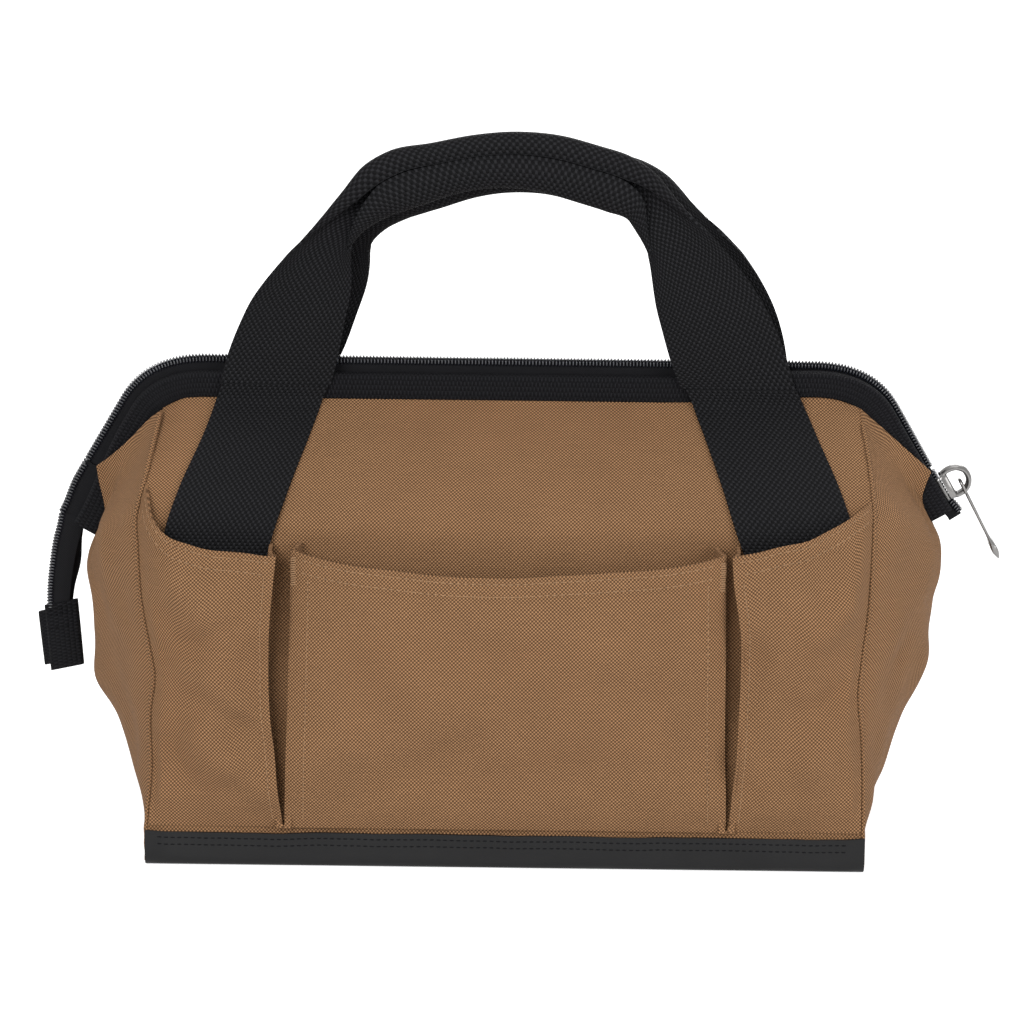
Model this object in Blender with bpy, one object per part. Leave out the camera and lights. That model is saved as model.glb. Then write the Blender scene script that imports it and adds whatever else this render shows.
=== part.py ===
"""Gate-mouth tool bag: canvas body, black coated base, two hinged steel mouth rods, zip and webbing handles.

Metres, +Z up, X along the bag, -Y is the front. The origin is the centre of the base's underside.
"""

import math

import bmesh
import bpy
from mathutils import Matrix, Vector

# Body: driving sizes
BASE_WIDTH = 0.323
BASE_DEPTH = 0.200
MOUTH_HEIGHT = 0.211
RIM_DEPTH = 0.123
RIM_BELOW_MOUTH = 0.061
RIM_FLARE = 0.013
RIM_HEIGHT = MOUTH_HEIGHT - RIM_BELOW_MOUTH
RIM_WIDTH = BASE_WIDTH + RIM_FLARE
PIVOT_BELOW_RIM = 0.007
PIVOT_HEIGHT = RIM_HEIGHT - PIVOT_BELOW_RIM
CLOTH = 0.002
GAP = 0.0003
DOUBLE_GAP = 2 * GAP
TRIPLE_GAP = 3 * GAP
SEAM_ALLOWANCE = 0.0024
PANEL_BOW = 0.002
PANEL_ROWS = 6
PANEL_COLUMNS = 8
SMOOTH_DEGREES = 40

# Gussets: how much wider than the base they are at the foot, the bulge and the top
GUSSET_FOOT_FLARE = 0.011
BULGE_FLARE = 0.075
GUSSET_TOP_FLARE = 0.0594
BULGE_BELOW_RIM = 0.045
GUSSET_TOP_BELOW_RIM = 0.0145
GUSSET_BASE_WIDTH = BASE_WIDTH + GUSSET_FOOT_FLARE
BULGE_WIDTH = BASE_WIDTH + BULGE_FLARE
GUSSET_TOP_WIDTH = BASE_WIDTH + GUSSET_TOP_FLARE
BULGE_HEIGHT = RIM_HEIGHT - BULGE_BELOW_RIM
GUSSET_TOP = RIM_HEIGHT - GUSSET_TOP_BELOW_RIM
GUSSET_FOOT = 0.0005
GUSSET_RISE_POWER = 0.7
GUSSET_ROUND_POWER = 0.8
GUSSET_COLUMNS = 10

# Base
TRIM_HEIGHT = 0.017
TRIM_CLOTH = 0.0016
BOARD_THICKNESS = 0.003
PANEL_FOOT_CLEARANCE = 0.001
BOARD_MARGIN = 0.003

# Mouth outline, the outer edge of the zip teeth, in the plane Y = 0
MOUTH_FLAT_INSET = 0.043
SLOPE_TOP_FLARE = 0.039
SLOPE_END_FLARE = 0.105
SLOPE_TOP_DROP = 0.021
SLOPE_END_BELOW_PIVOT = 0.008
MOUTH_FLAT_WIDTH = BASE_WIDTH - MOUTH_FLAT_INSET
SLOPE_TOP_WIDTH = BASE_WIDTH + SLOPE_TOP_FLARE
SLOPE_TOP_HEIGHT = MOUTH_HEIGHT - SLOPE_TOP_DROP
SLOPE_END_WIDTH = BASE_WIDTH + SLOPE_END_FLARE
SLOPE_END_HEIGHT = PIVOT_HEIGHT - SLOPE_END_BELOW_PIVOT
FLAT_STEPS = 8
CORNER_STEPS = 5
SLOPE_STEPS = 3

# Zip, measured inwards from the mouth outline
TEETH_HEIGHT = 0.0032
TEETH_HALF_WIDTH = 0.0026
TEETH_SPLIT = 0.00025
TAPE_INNER = 0.012
TAPE_HALF_WIDTH = 0.0015
TAPE_SPLIT = 0.0004
JAW_END_ABOVE_PIVOT = 0.017
ZIP_JAW_END_HEIGHT = PIVOT_HEIGHT + JAW_END_ABOVE_PIVOT
END_TAPE_INNER = 0.005
END_FOOT_TOP_BELOW_PIVOT = 0.0105
END_FOOT_HEIGHT = 0.006
END_FOOT_TOP = PIVOT_HEIGHT - END_FOOT_TOP_BELOW_PIVOT
END_FOOT_BOTTOM = END_FOOT_TOP - END_FOOT_HEIGHT

# Binding and rods of the mouth
BINDING_TOP = 0.007
BINDING_INNER = 0.022
BINDING_NEAR = 0.0018
BINDING_THICKNESS = 0.0072
BINDING_FAR = BINDING_NEAR + BINDING_THICKNESS
BINDING_CHAMFER = 0.0018
BINDING_END_ABOVE_PIVOT = 0.006
BINDING_END_HEIGHT = PIVOT_HEIGHT + BINDING_END_ABOVE_PIVOT
ROD_RADIUS = 0.0022
ROD_DEPTH = 0.0108
ROD_CLEARANCE = 0.0004
EYE_THICKNESS = 0.0015
EYE_RADIUS = 0.0029
EYE_SPACING = 0.002
EYE_ARC_STEPS = 10
ROD_SIDES = 8

# Pivot rivets and the webbing tongues that hold them
RIVET_RADIUS = 0.0019
RIVET_CLEARANCE = 0.0002
RIVET_HEAD_RADIUS = 0.0033
RIVET_HEAD = 0.0015
TONGUE_WIDTH = 0.0056
TONGUE_ABOVE_PIVOT = 0.0035
TONGUE_BELOW_PIVOT = 0.021
TONGUE_TOP = PIVOT_HEIGHT + TONGUE_ABOVE_PIVOT
TONGUE_BOTTOM = PIVOT_HEIGHT - TONGUE_BELOW_PIVOT
TONGUE_CLEARANCE = 0.0005
TONGUE_ROWS = 4
RIVET_SIDES = 16

# Upper panels, one on each half of the mouth
UPPER_INSET = 0.010
UPPER_SIDE_FLARE = 0.049
UPPER_BELOW_RIM = 0.009
UPPER_BASE_DEPTH = RIM_DEPTH - UPPER_INSET
UPPER_BASE_WIDTH = RIM_WIDTH - UPPER_INSET
UPPER_SIDE_WIDTH = BASE_WIDTH + UPPER_SIDE_FLARE
UPPER_BASE_HEIGHT = RIM_HEIGHT - UPPER_BELOW_RIM
UPPER_KNEE_RISE = 0.009
UPPER_KNEE_SHARE = 0.95
UPPER_CLOTH = 0.0015
UPPER_SIDE_GAP = 0.002
UPPER_EDGE_GAP = 0.0058
UPPER_TOP_SHARE = 0.9
UPPER_TOP_Y = BINDING_NEAR + BINDING_THICKNESS * UPPER_TOP_SHARE
UPPER_ROWS = 3

# Pockets
SIDE_POCKET_WIDTH = 0.0605
POCKET_SPACING = 0.004
CENTRE_TOP_BELOW_RIM = 0.007
SIDE_TOP_BELOW_RIM = 0.0075
CORNER_ABOVE_RIM = 0.0135
SIDE_POCKET_INNER = BASE_WIDTH / 2 - SIDE_POCKET_WIDTH
CENTRE_POCKET_HALF_WIDTH = SIDE_POCKET_INNER - POCKET_SPACING
CENTRE_POCKET_TOP = RIM_HEIGHT - CENTRE_TOP_BELOW_RIM
CENTRE_POCKET_DIP = 0.009
SIDE_POCKET_TOP = RIM_HEIGHT - SIDE_TOP_BELOW_RIM
SIDE_POCKET_CORNER = RIM_HEIGHT + CORNER_ABOVE_RIM
SIDE_POCKET_EDGE_IN = 0.003
POCKET_DEPTH = 0.017
SIDE_POCKET_DEPTH = 0.015
POCKET_CLOTH = 0.0016
POCKET_FOOT_SHARE = 0.35
POCKET_FULLNESS = 8
POCKET_CORNER_POWER = 3
POCKET_COLUMNS = 14
POCKET_ROWS = 6

# Webbing straps and handles
STRAP_WIDTH = 0.050
STRAP_THICKNESS = 0.0022
STRAP_FOOT_HEIGHT = 0.044
STRAP_FOOT_INSET = 0.0295
STRAP_RIM_INSET = 0.0275
STRAP_END_INSET = 0.0535
STRAP_START_ABOVE_RIM = 0.0025
STRAP_END_BELOW_MOUTH = 0.011
STRAP_FOOT_X = BASE_WIDTH / 2 - STRAP_FOOT_INSET
STRAP_RIM_X = BASE_WIDTH / 2 - STRAP_RIM_INSET
STRAP_END_X = BASE_WIDTH / 2 - STRAP_END_INSET
STRAP_START_HEIGHT = RIM_HEIGHT + STRAP_START_ABOVE_RIM
STRAP_END_HEIGHT = MOUTH_HEIGHT - STRAP_END_BELOW_MOUTH
STRAP_SLOPE_RISE = 0.0045
STRAP_ROWS = 5
GRIP_HEIGHT = 0.0245
GRIP_DEPTH = 0.0125
GRIP_ABOVE_MOUTH = 0.0945
GRIP_SAG = 0.003
GRIP_INSET = 0.052
GRIP_CENTRE_Y = 0.0072
REAR_HANDLE_SHIFT = 0.008
REAR_HANDLE_DROP = 0.006
LEG_SHOULDER_INSET = 0.021
LEG_SHOULDER_ABOVE_MOUTH = 0.039
LEG_NECK_INSET = 0.037
LEG_NECK_ABOVE_MOUTH = 0.071
GRIP_CENTRE_HEIGHT = MOUTH_HEIGHT + GRIP_ABOVE_MOUTH
GRIP_HALF_LENGTH = STRAP_END_X - GRIP_INSET
LEG_SHOULDER_X = STRAP_END_X - LEG_SHOULDER_INSET
LEG_SHOULDER_HEIGHT = MOUTH_HEIGHT + LEG_SHOULDER_ABOVE_MOUTH
LEG_NECK_X = STRAP_END_X - LEG_NECK_INSET
LEG_NECK_HEIGHT = MOUTH_HEIGHT + LEG_NECK_ABOVE_MOUTH
LEG_HALFWAY_SHARE = 0.5
SHOULDER_THICKNESS = 0.0033
NECK_WIDTH = 0.033
NECK_THICKNESS = 0.00875
HANDLE_ROUND_SHARE = 0.3
GRIP_STEPS = 8

# Slider, its bridge and its pull
SLIDER_ABOVE_PIVOT = 0.008
SLIDER_HEIGHT = PIVOT_HEIGHT + SLIDER_ABOVE_PIVOT
SLIDER_LENGTH = 0.012
SLIDER_TAPER = 0.0015
SLIDER_HALF_DEPTH = 0.0042
SLIDER_TOP = 0.0016
SLIDER_SKIRT = 0.0048
SLIDER_PLAY = 0.0004
SLIDER_SLOT = 0.0020
SLIDER_LIP = 0.0036
BRIDGE_HEIGHT = 0.0105
BRIDGE_HALF_DEPTH = 0.0016
BRIDGE_HALF_LENGTH = 0.0050
BRIDGE_BAR = 0.0020
PULL_PIVOT_RISE = 0.0059
PULL_LENGTH = 0.0435
PULL_WIDTH = 0.0085
PULL_THICKNESS = 0.0016
PULL_BAR = 0.0014
PULL_EYE_LENGTH = 0.006
PULL_TIP_THICKNESS = 0.0026
PULL_TIP_LENGTH = 0.005
PULL_TILT_X = 0.482
PULL_TILT_Z = -0.876
PULL_CLEARANCE = 0.0005

# Zip tail at the left end
TAIL_WIDTH = 0.011
TAIL_HALF_DEPTH = 0.0019
TAIL_BELOW_PIVOT = 0.0095
TAIL_LENGTH = 0.043
TAIL_START_OUT = 0.053
TAIL_END_OUT = 0.0605
TAIL_TOP_HEIGHT = PIVOT_HEIGHT - TAIL_BELOW_PIVOT
TAIL_END_HEIGHT = TAIL_TOP_HEIGHT - TAIL_LENGTH
TAIL_START_X = BASE_WIDTH / 2 + TAIL_START_OUT
TAIL_END_X = BASE_WIDTH / 2 + TAIL_END_OUT
TAIL_BOW = 0.0006
TAIL_SLANT = 0.009
TAIL_STEPS = 5
TAB_WIDTH = 0.0225
TAB_LENGTH = 0.036
TAB_HALF_DEPTH = 0.003
TAB_SKEW = 0.002
TAB_LEAN = 0.004

# Finishes: colour, roughness and how metallic
CANVAS_COLOUR = (0.266, 0.136, 0.061)
WEBBING_COLOUR = (0.012, 0.012, 0.014)
COATED_COLOUR = (0.020, 0.020, 0.021)
STEEL_COLOUR = (0.55, 0.55, 0.56)
NICKEL_COLOUR = (0.72, 0.72, 0.73)
BOARD_COLOUR = (0.05, 0.05, 0.05)
FINISHES = {
    "canvas": (CANVAS_COLOUR, 0.85, 0.0),
    "webbing": (WEBBING_COLOUR, 0.7, 0.0),
    "coated": (COATED_COLOUR, 0.55, 0.0),
    "tape": (WEBBING_COLOUR, 0.8, 0.0),
    "teeth": (WEBBING_COLOUR, 0.35, 0.0),
    "steel": (STEEL_COLOUR, 0.35, 1.0),
    "nickel": (NICKEL_COLOUR, 0.2, 1.0),
    "board": (BOARD_COLOUR, 0.6, 0.0),
}

# Sides and hands as signs, and the bag's middle
FRONT = -1
REAR = 1
LEFT = -1
RIGHT = 1
SIDES = ((FRONT, "front"), (REAR, "rear"))
HANDS = ((LEFT, "left"), (RIGHT, "right"))
CENTRE = Vector((0, 0, RIM_HEIGHT / 2))
CUT_OVERRUN = 0.01


def material(name, colour, roughness, metallic=0.0):
    made = bpy.data.materials.new(name)
    made.use_nodes = True
    shader = made.node_tree.nodes["Principled BSDF"]
    shader.inputs["Base Color"].default_value = (*colour, 1.0)
    shader.inputs["Roughness"].default_value = roughness
    shader.inputs["Metallic"].default_value = metallic
    return made


def link(name, bm, finish):
    """Makes one object from a bmesh, with its faces pointing out and its own material."""
    bmesh.ops.recalc_face_normals(bm, faces=bm.faces)
    mesh = bpy.data.meshes.new(name)
    bm.to_mesh(mesh)
    bm.free()
    obj = bpy.data.objects.new(name, mesh)
    bpy.context.scene.collection.objects.link(obj)
    mesh.materials.append(material(name, *FINISHES[finish]))
    mesh.shade_smooth()
    mesh.set_sharp_from_angle(angle=math.radians(SMOOTH_DEGREES))
    return obj


def empty(name, place):
    """An empty on a joint's axis, which carries the pieces that turn about it."""
    obj = bpy.data.objects.new(name, None)
    obj.location = place
    bpy.context.scene.collection.objects.link(obj)
    return obj


def carry(parent, *pieces):
    for piece in pieces:
        piece.parent = parent
        piece.matrix_parent_inverse = Matrix.Translation(-parent.location)


def quads(bm, rows, closed=False):
    """Joins rows of vertices with quads. closed also joins each row's last vertex to its first."""
    for low, high in zip(rows, rows[1:]):
        count = len(low)
        for i in range(count if closed else count - 1):
            j = (i + 1) % count
            bm.faces.new((low[i], low[j], high[j], high[i]))


def shell_mesh(rows, thickness, inward=True):
    """A sheet of cloth: the rows are its outer surface, and its thickness goes towards the bag's middle."""
    bm = bmesh.new()
    outer = [[bm.verts.new(p) for p in row] for row in rows]
    inner = []
    last_row = len(rows) - 1
    last = len(rows[0]) - 1
    for i, row in enumerate(rows):
        made = []
        for j, p in enumerate(row):
            along = row[min(j + 1, last)] - row[max(j - 1, 0)]
            up = rows[min(i + 1, last_row)][j] - rows[max(i - 1, 0)][j]
            normal = along.cross(up).normalized()
            if (normal.dot(p - CENTRE) > 0) == inward:
                normal.negate()
            made.append(bm.verts.new(p + normal * thickness))
        inner.append(made)
    edge = outer[0] + [r[-1] for r in outer[1:]]
    edge += outer[-1][-2::-1] + [r[0] for r in outer[-2:0:-1]]
    back = inner[0] + [r[-1] for r in inner[1:]]
    back += inner[-1][-2::-1] + [r[0] for r in inner[-2:0:-1]]
    quads(bm, [edge, back], closed=True)
    quads(bm, outer[::-1])
    quads(bm, inner[::-1])
    return bm


def sweep_mesh(rings):
    """A solid through rings of equally many points, with both ends filled."""
    bm = bmesh.new()
    rows = [[bm.verts.new(p) for p in ring] for ring in rings]
    quads(bm, rows, closed=True)
    bm.faces.new(rows[0])
    bm.faces.new(rows[-1][::-1])
    return bm


def pipe_mesh(outer_rings, inner_rings):
    """A sleeve between two sets of rings, open at both ends."""
    bm = bmesh.new()
    outer = [[bm.verts.new(p) for p in ring] for ring in outer_rings]
    inner = [[bm.verts.new(p) for p in ring] for ring in inner_rings]
    quads(bm, outer, closed=True)
    quads(bm, inner, closed=True)
    quads(bm, [outer[0], inner[0]], closed=True)
    quads(bm, [outer[-1], inner[-1]], closed=True)
    return bm


def prism_mesh(outline, low_y, high_y):
    """An outline in X and Z, extruded along Y."""
    return sweep_mesh([[Vector((x, y, z)) for x, z in outline] for y in (low_y, high_y)])


def cylinder_mesh(start, end, radius, sides):
    """A round bar along X, Y or Z."""
    axis = (end - start).normalized()
    across = axis.orthogonal().normalized()
    other = axis.cross(across)
    turns = [2 * math.pi * k / sides for k in range(sides)]
    ring = [across * math.cos(a) * radius + other * math.sin(a) * radius for a in turns]
    return sweep_mesh([[start + p for p in ring], [end + p for p in ring]])


def cut(target, bm, name):
    """Cuts a closed mesh out of an object, and leaves the cutter out of the render."""
    cutter = link(name, bm, "steel")
    cutter.hide_render = True
    cutter.display_type = "WIRE"
    change = target.modifiers.new(name, "BOOLEAN")
    change.operation = "DIFFERENCE"
    change.solver = "EXACT"
    change.object = cutter
    return cutter


def join(target, bm, name):
    """Adds a closed mesh to an object as one body."""
    added = link(name, bm, "steel")
    added.hide_render = True
    added.display_type = "WIRE"
    change = target.modifiers.new(name, "BOOLEAN")
    change.operation = "UNION"
    change.solver = "EXACT"
    change.object = added
    return added


def mix(a, b, share):
    return a + (b - a) * share


def ease(share):
    return share * share * (3 - 2 * share)


def panel_depth(z):
    """Distance of the front panel's outer face from the middle plane."""
    return mix(BASE_DEPTH, RIM_DEPTH, z / RIM_HEIGHT) / 2


def seam_x(z):
    """Half the width between the seams of panel and gusset."""
    return mix(BASE_WIDTH, RIM_WIDTH, z / RIM_HEIGHT) / 2


def gusset_x(z):
    """Half the bag's width at the middle of the gussets."""
    if z < BULGE_HEIGHT:
        rise = math.sin(math.pi / 2 * z / BULGE_HEIGHT) ** GUSSET_RISE_POWER
        return mix(GUSSET_BASE_WIDTH, BULGE_WIDTH, rise) / 2
    above = (z - BULGE_HEIGHT) / (GUSSET_TOP - BULGE_HEIGHT)
    return mix(BULGE_WIDTH, GUSSET_TOP_WIDTH, above * above) / 2


def gusset_point(hand, share, z):
    """A point of a gusset's outer face; share runs from -1 at the front seam to 1 at the rear one."""
    depth = panel_depth(z) - GAP
    out = max(0, math.cos(math.pi / 2 * share)) ** GUSSET_ROUND_POWER
    x = mix(seam_x(z) + GAP, gusset_x(z), out)
    return Vector((hand * x, depth * share, z))


def build_body():
    """Base wrap, stiff board, front and rear panels, and the two gussets."""
    half = BASE_WIDTH / 2 - SEAM_ALLOWANCE
    outer_low = panel_depth(0) + GAP + TRIM_CLOTH
    outer_high = panel_depth(TRIM_HEIGHT) + GAP + TRIM_CLOTH
    inner_low = outer_low - TRIM_CLOTH
    inner_high = outer_high - TRIM_CLOTH
    section = [
        (-outer_high, TRIM_HEIGHT),
        (-outer_low, TRIM_CLOTH),
        (-outer_low + TRIM_CLOTH, 0),
        (outer_low - TRIM_CLOTH, 0),
        (outer_low, TRIM_CLOTH),
        (outer_high, TRIM_HEIGHT),
        (inner_high, TRIM_HEIGHT),
        (inner_low, TRIM_CLOTH),
        (-inner_low, TRIM_CLOTH),
        (-inner_high, TRIM_HEIGHT),
    ]
    rings = [[Vector((x, y, z)) for y, z in section] for x in (-half, half)]
    link("base_wrap", sweep_mesh(rings), "coated")

    board_x = BASE_WIDTH / 2 - BOARD_MARGIN
    board_y = panel_depth(0) - CLOTH - BOARD_MARGIN
    low = TRIM_CLOTH + GAP
    corners = ((-1, -1), (1, -1), (1, 1), (-1, 1))
    rings = [
        [Vector((sx * board_x, sy * board_y, z)) for sx, sy in corners]
        for z in (low, low + BOARD_THICKNESS)
    ]
    link("base_board", sweep_mesh(rings), "board")

    foot = TRIM_CLOTH + PANEL_FOOT_CLEARANCE
    heights = [mix(foot, RIM_HEIGHT, i / PANEL_ROWS) for i in range(PANEL_ROWS + 1)]
    for side, word in SIDES:
        rows = []
        for z in heights:
            width = seam_x(z) - SEAM_ALLOWANCE
            shares = [2 * i / PANEL_COLUMNS - 1 for i in range(PANEL_COLUMNS + 1)]
            bow = PANEL_BOW * math.sin(math.pi * z / RIM_HEIGHT) if z > TRIM_HEIGHT else 0
            depths = [panel_depth(z) - bow * (1 - s * s) for s in shares]
            rows.append([Vector((width * s, side * d, z)) for s, d in zip(shares, depths)])
        link(f"{word}_panel", shell_mesh(rows, CLOTH), "canvas")

    heights = [mix(GUSSET_FOOT, GUSSET_TOP, i / PANEL_ROWS) for i in range(PANEL_ROWS + 1)]
    for hand, word in HANDS:
        shares = [2 * i / GUSSET_COLUMNS - 1 for i in range(GUSSET_COLUMNS + 1)]
        rows = [[gusset_point(hand, s, z) for s in shares] for z in heights]
        link(f"{word}_gusset", shell_mesh(rows, CLOTH), "canvas")


def mouth_path(end_height):
    """The mouth outline from left to right, as points and outward normals in X and Z."""
    half = []
    flat = MOUTH_FLAT_WIDTH / 2
    top_x = SLOPE_TOP_WIDTH / 2
    end_x = SLOPE_END_WIDTH / 2
    run = Vector((end_x - top_x, SLOPE_END_HEIGHT - SLOPE_TOP_HEIGHT))
    corner = Vector((top_x + run.x * (MOUTH_HEIGHT - SLOPE_TOP_HEIGHT) / run.y, MOUTH_HEIGHT))
    start = Vector((flat, MOUTH_HEIGHT))
    top = Vector((top_x, SLOPE_TOP_HEIGHT))
    for i in range(1, FLAT_STEPS + 1):
        half.append(Vector((flat * i / FLAT_STEPS, MOUTH_HEIGHT)))
    for i in range(1, CORNER_STEPS + 1):
        t = i / CORNER_STEPS
        half.append(mix(mix(start, corner, t), mix(corner, top, t), t))
    reach = (end_height - SLOPE_TOP_HEIGHT) / run.y
    for i in range(1, SLOPE_STEPS + 1):
        half.append(top + run * reach * i / SLOPE_STEPS)
    points = [Vector((-p.x, p.y)) for p in reversed(half)]
    points.append(Vector((0, MOUTH_HEIGHT)))
    points += half
    normals = []
    for i, _ in enumerate(points):
        along = points[min(i + 1, len(points) - 1)] - points[max(i - 1, 0)]
        normals.append(Vector((-along.y, along.x)).normalized())
    return points, normals


def slope_direction():
    """The direction up the right slope, towards the top, and the outward normal there."""
    up = Vector((SLOPE_TOP_WIDTH / 2 - SLOPE_END_WIDTH / 2, SLOPE_TOP_HEIGHT - SLOPE_END_HEIGHT))
    up.normalize()
    return up, Vector((up.y, -up.x))


def slope_x(z):
    """Half the width of the mouth outline at a height on its slope."""
    share = (z - SLOPE_END_HEIGHT) / (SLOPE_TOP_HEIGHT - SLOPE_END_HEIGHT)
    return mix(SLOPE_END_WIDTH, SLOPE_TOP_WIDTH, share) / 2


def mouth_rings(end_height, section):
    """The section's points, as inward distance and Y, carried along the mouth and cut level at its ends."""
    points, normals = mouth_path(end_height)
    rings = []
    for i, (p, n) in enumerate(zip(points, normals)):
        ring = []
        for inward, y in section:
            place = p - n * inward
            if i in (0, len(points) - 1):
                side = RIGHT if i else LEFT
                slant = slope_direction()[1].x
                place = Vector((side * (slope_x(end_height) - inward / slant), end_height))
            ring.append(Vector((place.x, y, place.y)))
        rings.append(ring)
    return rings


def rect(low, high, near, far, side):
    """A rectangle between two inward distances and two distances from the middle plane."""
    return [(low, side * near), (low, side * far), (high, side * far), (high, side * near)]


def build_zip(side, word):
    teeth = rect(0, TEETH_HEIGHT, TEETH_SPLIT, TEETH_HALF_WIDTH, side)
    made = [
        link(f"{word}_zip_teeth", sweep_mesh(mouth_rings(ZIP_JAW_END_HEIGHT, teeth)), "teeth")
    ]
    tape = rect(TEETH_HEIGHT + GAP, TAPE_INNER, TAPE_SPLIT, TAPE_HALF_WIDTH, side)
    made.append(
        link(f"{word}_zip_tape", sweep_mesh(mouth_rings(ZIP_JAW_END_HEIGHT, tape)), "tape")
    )
    return made


def build_binding(side, word):
    """The folded webbing along one side of the mouth, with the sleeve that holds its rod."""
    near = BINDING_NEAR
    far = BINDING_FAR
    chamfer = BINDING_CHAMFER
    outline = [
        (BINDING_TOP, near + chamfer),
        (BINDING_TOP, far - chamfer),
        (BINDING_TOP + chamfer, far),
        (BINDING_INNER - chamfer, far),
        (BINDING_INNER, far - chamfer),
        (BINDING_INNER, near + chamfer),
        (BINDING_INNER - chamfer, near),
        (BINDING_TOP + chamfer, near),
    ]
    outline = [(inward, side * y) for inward, y in outline]
    bore = ROD_RADIUS + ROD_CLEARANCE
    middle = side * (near + far) / 2
    turns = [math.pi * (2 * k + 1) / ROD_SIDES for k in range(ROD_SIDES)]
    # the ring starts at the corner that lies nearest to the outline's first point
    hole = [(ROD_DEPTH - bore * math.cos(a), middle + side * bore * math.sin(a)) for a in turns]
    hole = [hole[-1], *hole[:-1]]
    outer = mouth_rings(BINDING_END_HEIGHT, outline)
    inner = mouth_rings(BINDING_END_HEIGHT, hole)
    return link(f"{word}_binding", pipe_mesh(outer, inner), "webbing")


def build_rod(side, word):
    """The steel rod of one side of the mouth, with a flat eye on the pivot at each end."""
    middle = side * (BINDING_NEAR + BINDING_THICKNESS / 2)
    turns = [2 * math.pi * k / ROD_SIDES for k in range(ROD_SIDES)]
    section = [
        (ROD_DEPTH - ROD_RADIUS * math.cos(a), middle + ROD_RADIUS * math.sin(a)) for a in turns
    ]
    rod = link(f"{word}_frame_rod", sweep_mesh(mouth_rings(PIVOT_HEIGHT, section)), "steel")
    for hand, hand_word in HANDS:
        low = eye_x(side)
        eye = []
        for k in range(EYE_ARC_STEPS + 1):
            a = math.pi * k / EYE_ARC_STEPS - math.pi / 2
            eye.append((-side * EYE_RADIUS * math.cos(a), EYE_RADIUS * math.sin(a)))
        tail = middle + side * ROD_RADIUS
        eye += [(tail, EYE_RADIUS), (tail, -EYE_RADIUS)]
        rings = [
            [Vector((hand * x, y, PIVOT_HEIGHT + z)) for y, z in eye]
            for x in (low, low + EYE_THICKNESS)
        ]
        join(rod, sweep_mesh(rings), f"{word}_{hand_word}_eye")
        start = Vector((hand * (low - CUT_OVERRUN), 0, PIVOT_HEIGHT))
        end = Vector((hand * (low + CUT_OVERRUN), 0, PIVOT_HEIGHT))
        bore = RIVET_RADIUS + RIVET_CLEARANCE
        cut(rod, cylinder_mesh(start, end, bore, RIVET_SIDES), f"{word}_{hand_word}_eye_bore")
    return rod


def tongue_x():
    """The inner face of the webbing tongue, where it stands clear of the gusset's top."""
    return GUSSET_TOP_WIDTH / 2 + GAP


def eye_x(side):
    """The inner face of a rod's eye: the front rod's lies nearer to the bag."""
    first = tongue_x() + CLOTH + TONGUE_CLEARANCE
    return first if side == FRONT else first + EYE_SPACING


def build_pivot(hand, word):
    """A webbing tongue sewn to the gusset's top, and the rivet through it and both rods' eyes."""
    half = TONGUE_WIDTH / 2
    heights = [mix(TONGUE_BOTTOM, GUSSET_TOP, i / TONGUE_ROWS) for i in range(TONGUE_ROWS + 1)]
    heights.append(TONGUE_TOP)
    rows = []
    for z in heights:
        x = gusset_x(min(z, GUSSET_TOP)) + GAP + CLOTH
        rows.append([Vector((hand * x, y, z)) for y in (-half, 0, half)])
    tongue = link(f"{word}_pivot_tongue", shell_mesh(rows, CLOTH), "webbing")
    bore = RIVET_RADIUS + RIVET_CLEARANCE
    low = Vector((hand * (tongue_x() - CUT_OVERRUN), 0, PIVOT_HEIGHT))
    high = Vector((hand * (tongue_x() + CUT_OVERRUN), 0, PIVOT_HEIGHT))
    cut(tongue, cylinder_mesh(low, high, bore, RIVET_SIDES), f"{word}_tongue_bore")

    inner_head = tongue_x() - TONGUE_CLEARANCE
    outer_head = eye_x(REAR) + EYE_THICKNESS + TONGUE_CLEARANCE
    faces = [
        (inner_head - RIVET_HEAD, RIVET_HEAD_RADIUS),
        (inner_head, RIVET_HEAD_RADIUS),
        (inner_head, RIVET_RADIUS),
        (outer_head, RIVET_RADIUS),
        (outer_head, RIVET_HEAD_RADIUS),
        (outer_head + RIVET_HEAD, RIVET_HEAD_RADIUS),
    ]
    turns = [2 * math.pi * k / RIVET_SIDES for k in range(RIVET_SIDES)]
    rings = [
        [
            Vector((hand * x, r * math.cos(a), PIVOT_HEIGHT + r * math.sin(a)))
            for a in turns
        ]
        for x, r in faces
    ]
    link(f"{word}_pivot_rivet", sweep_mesh(rings), "steel")


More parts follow.
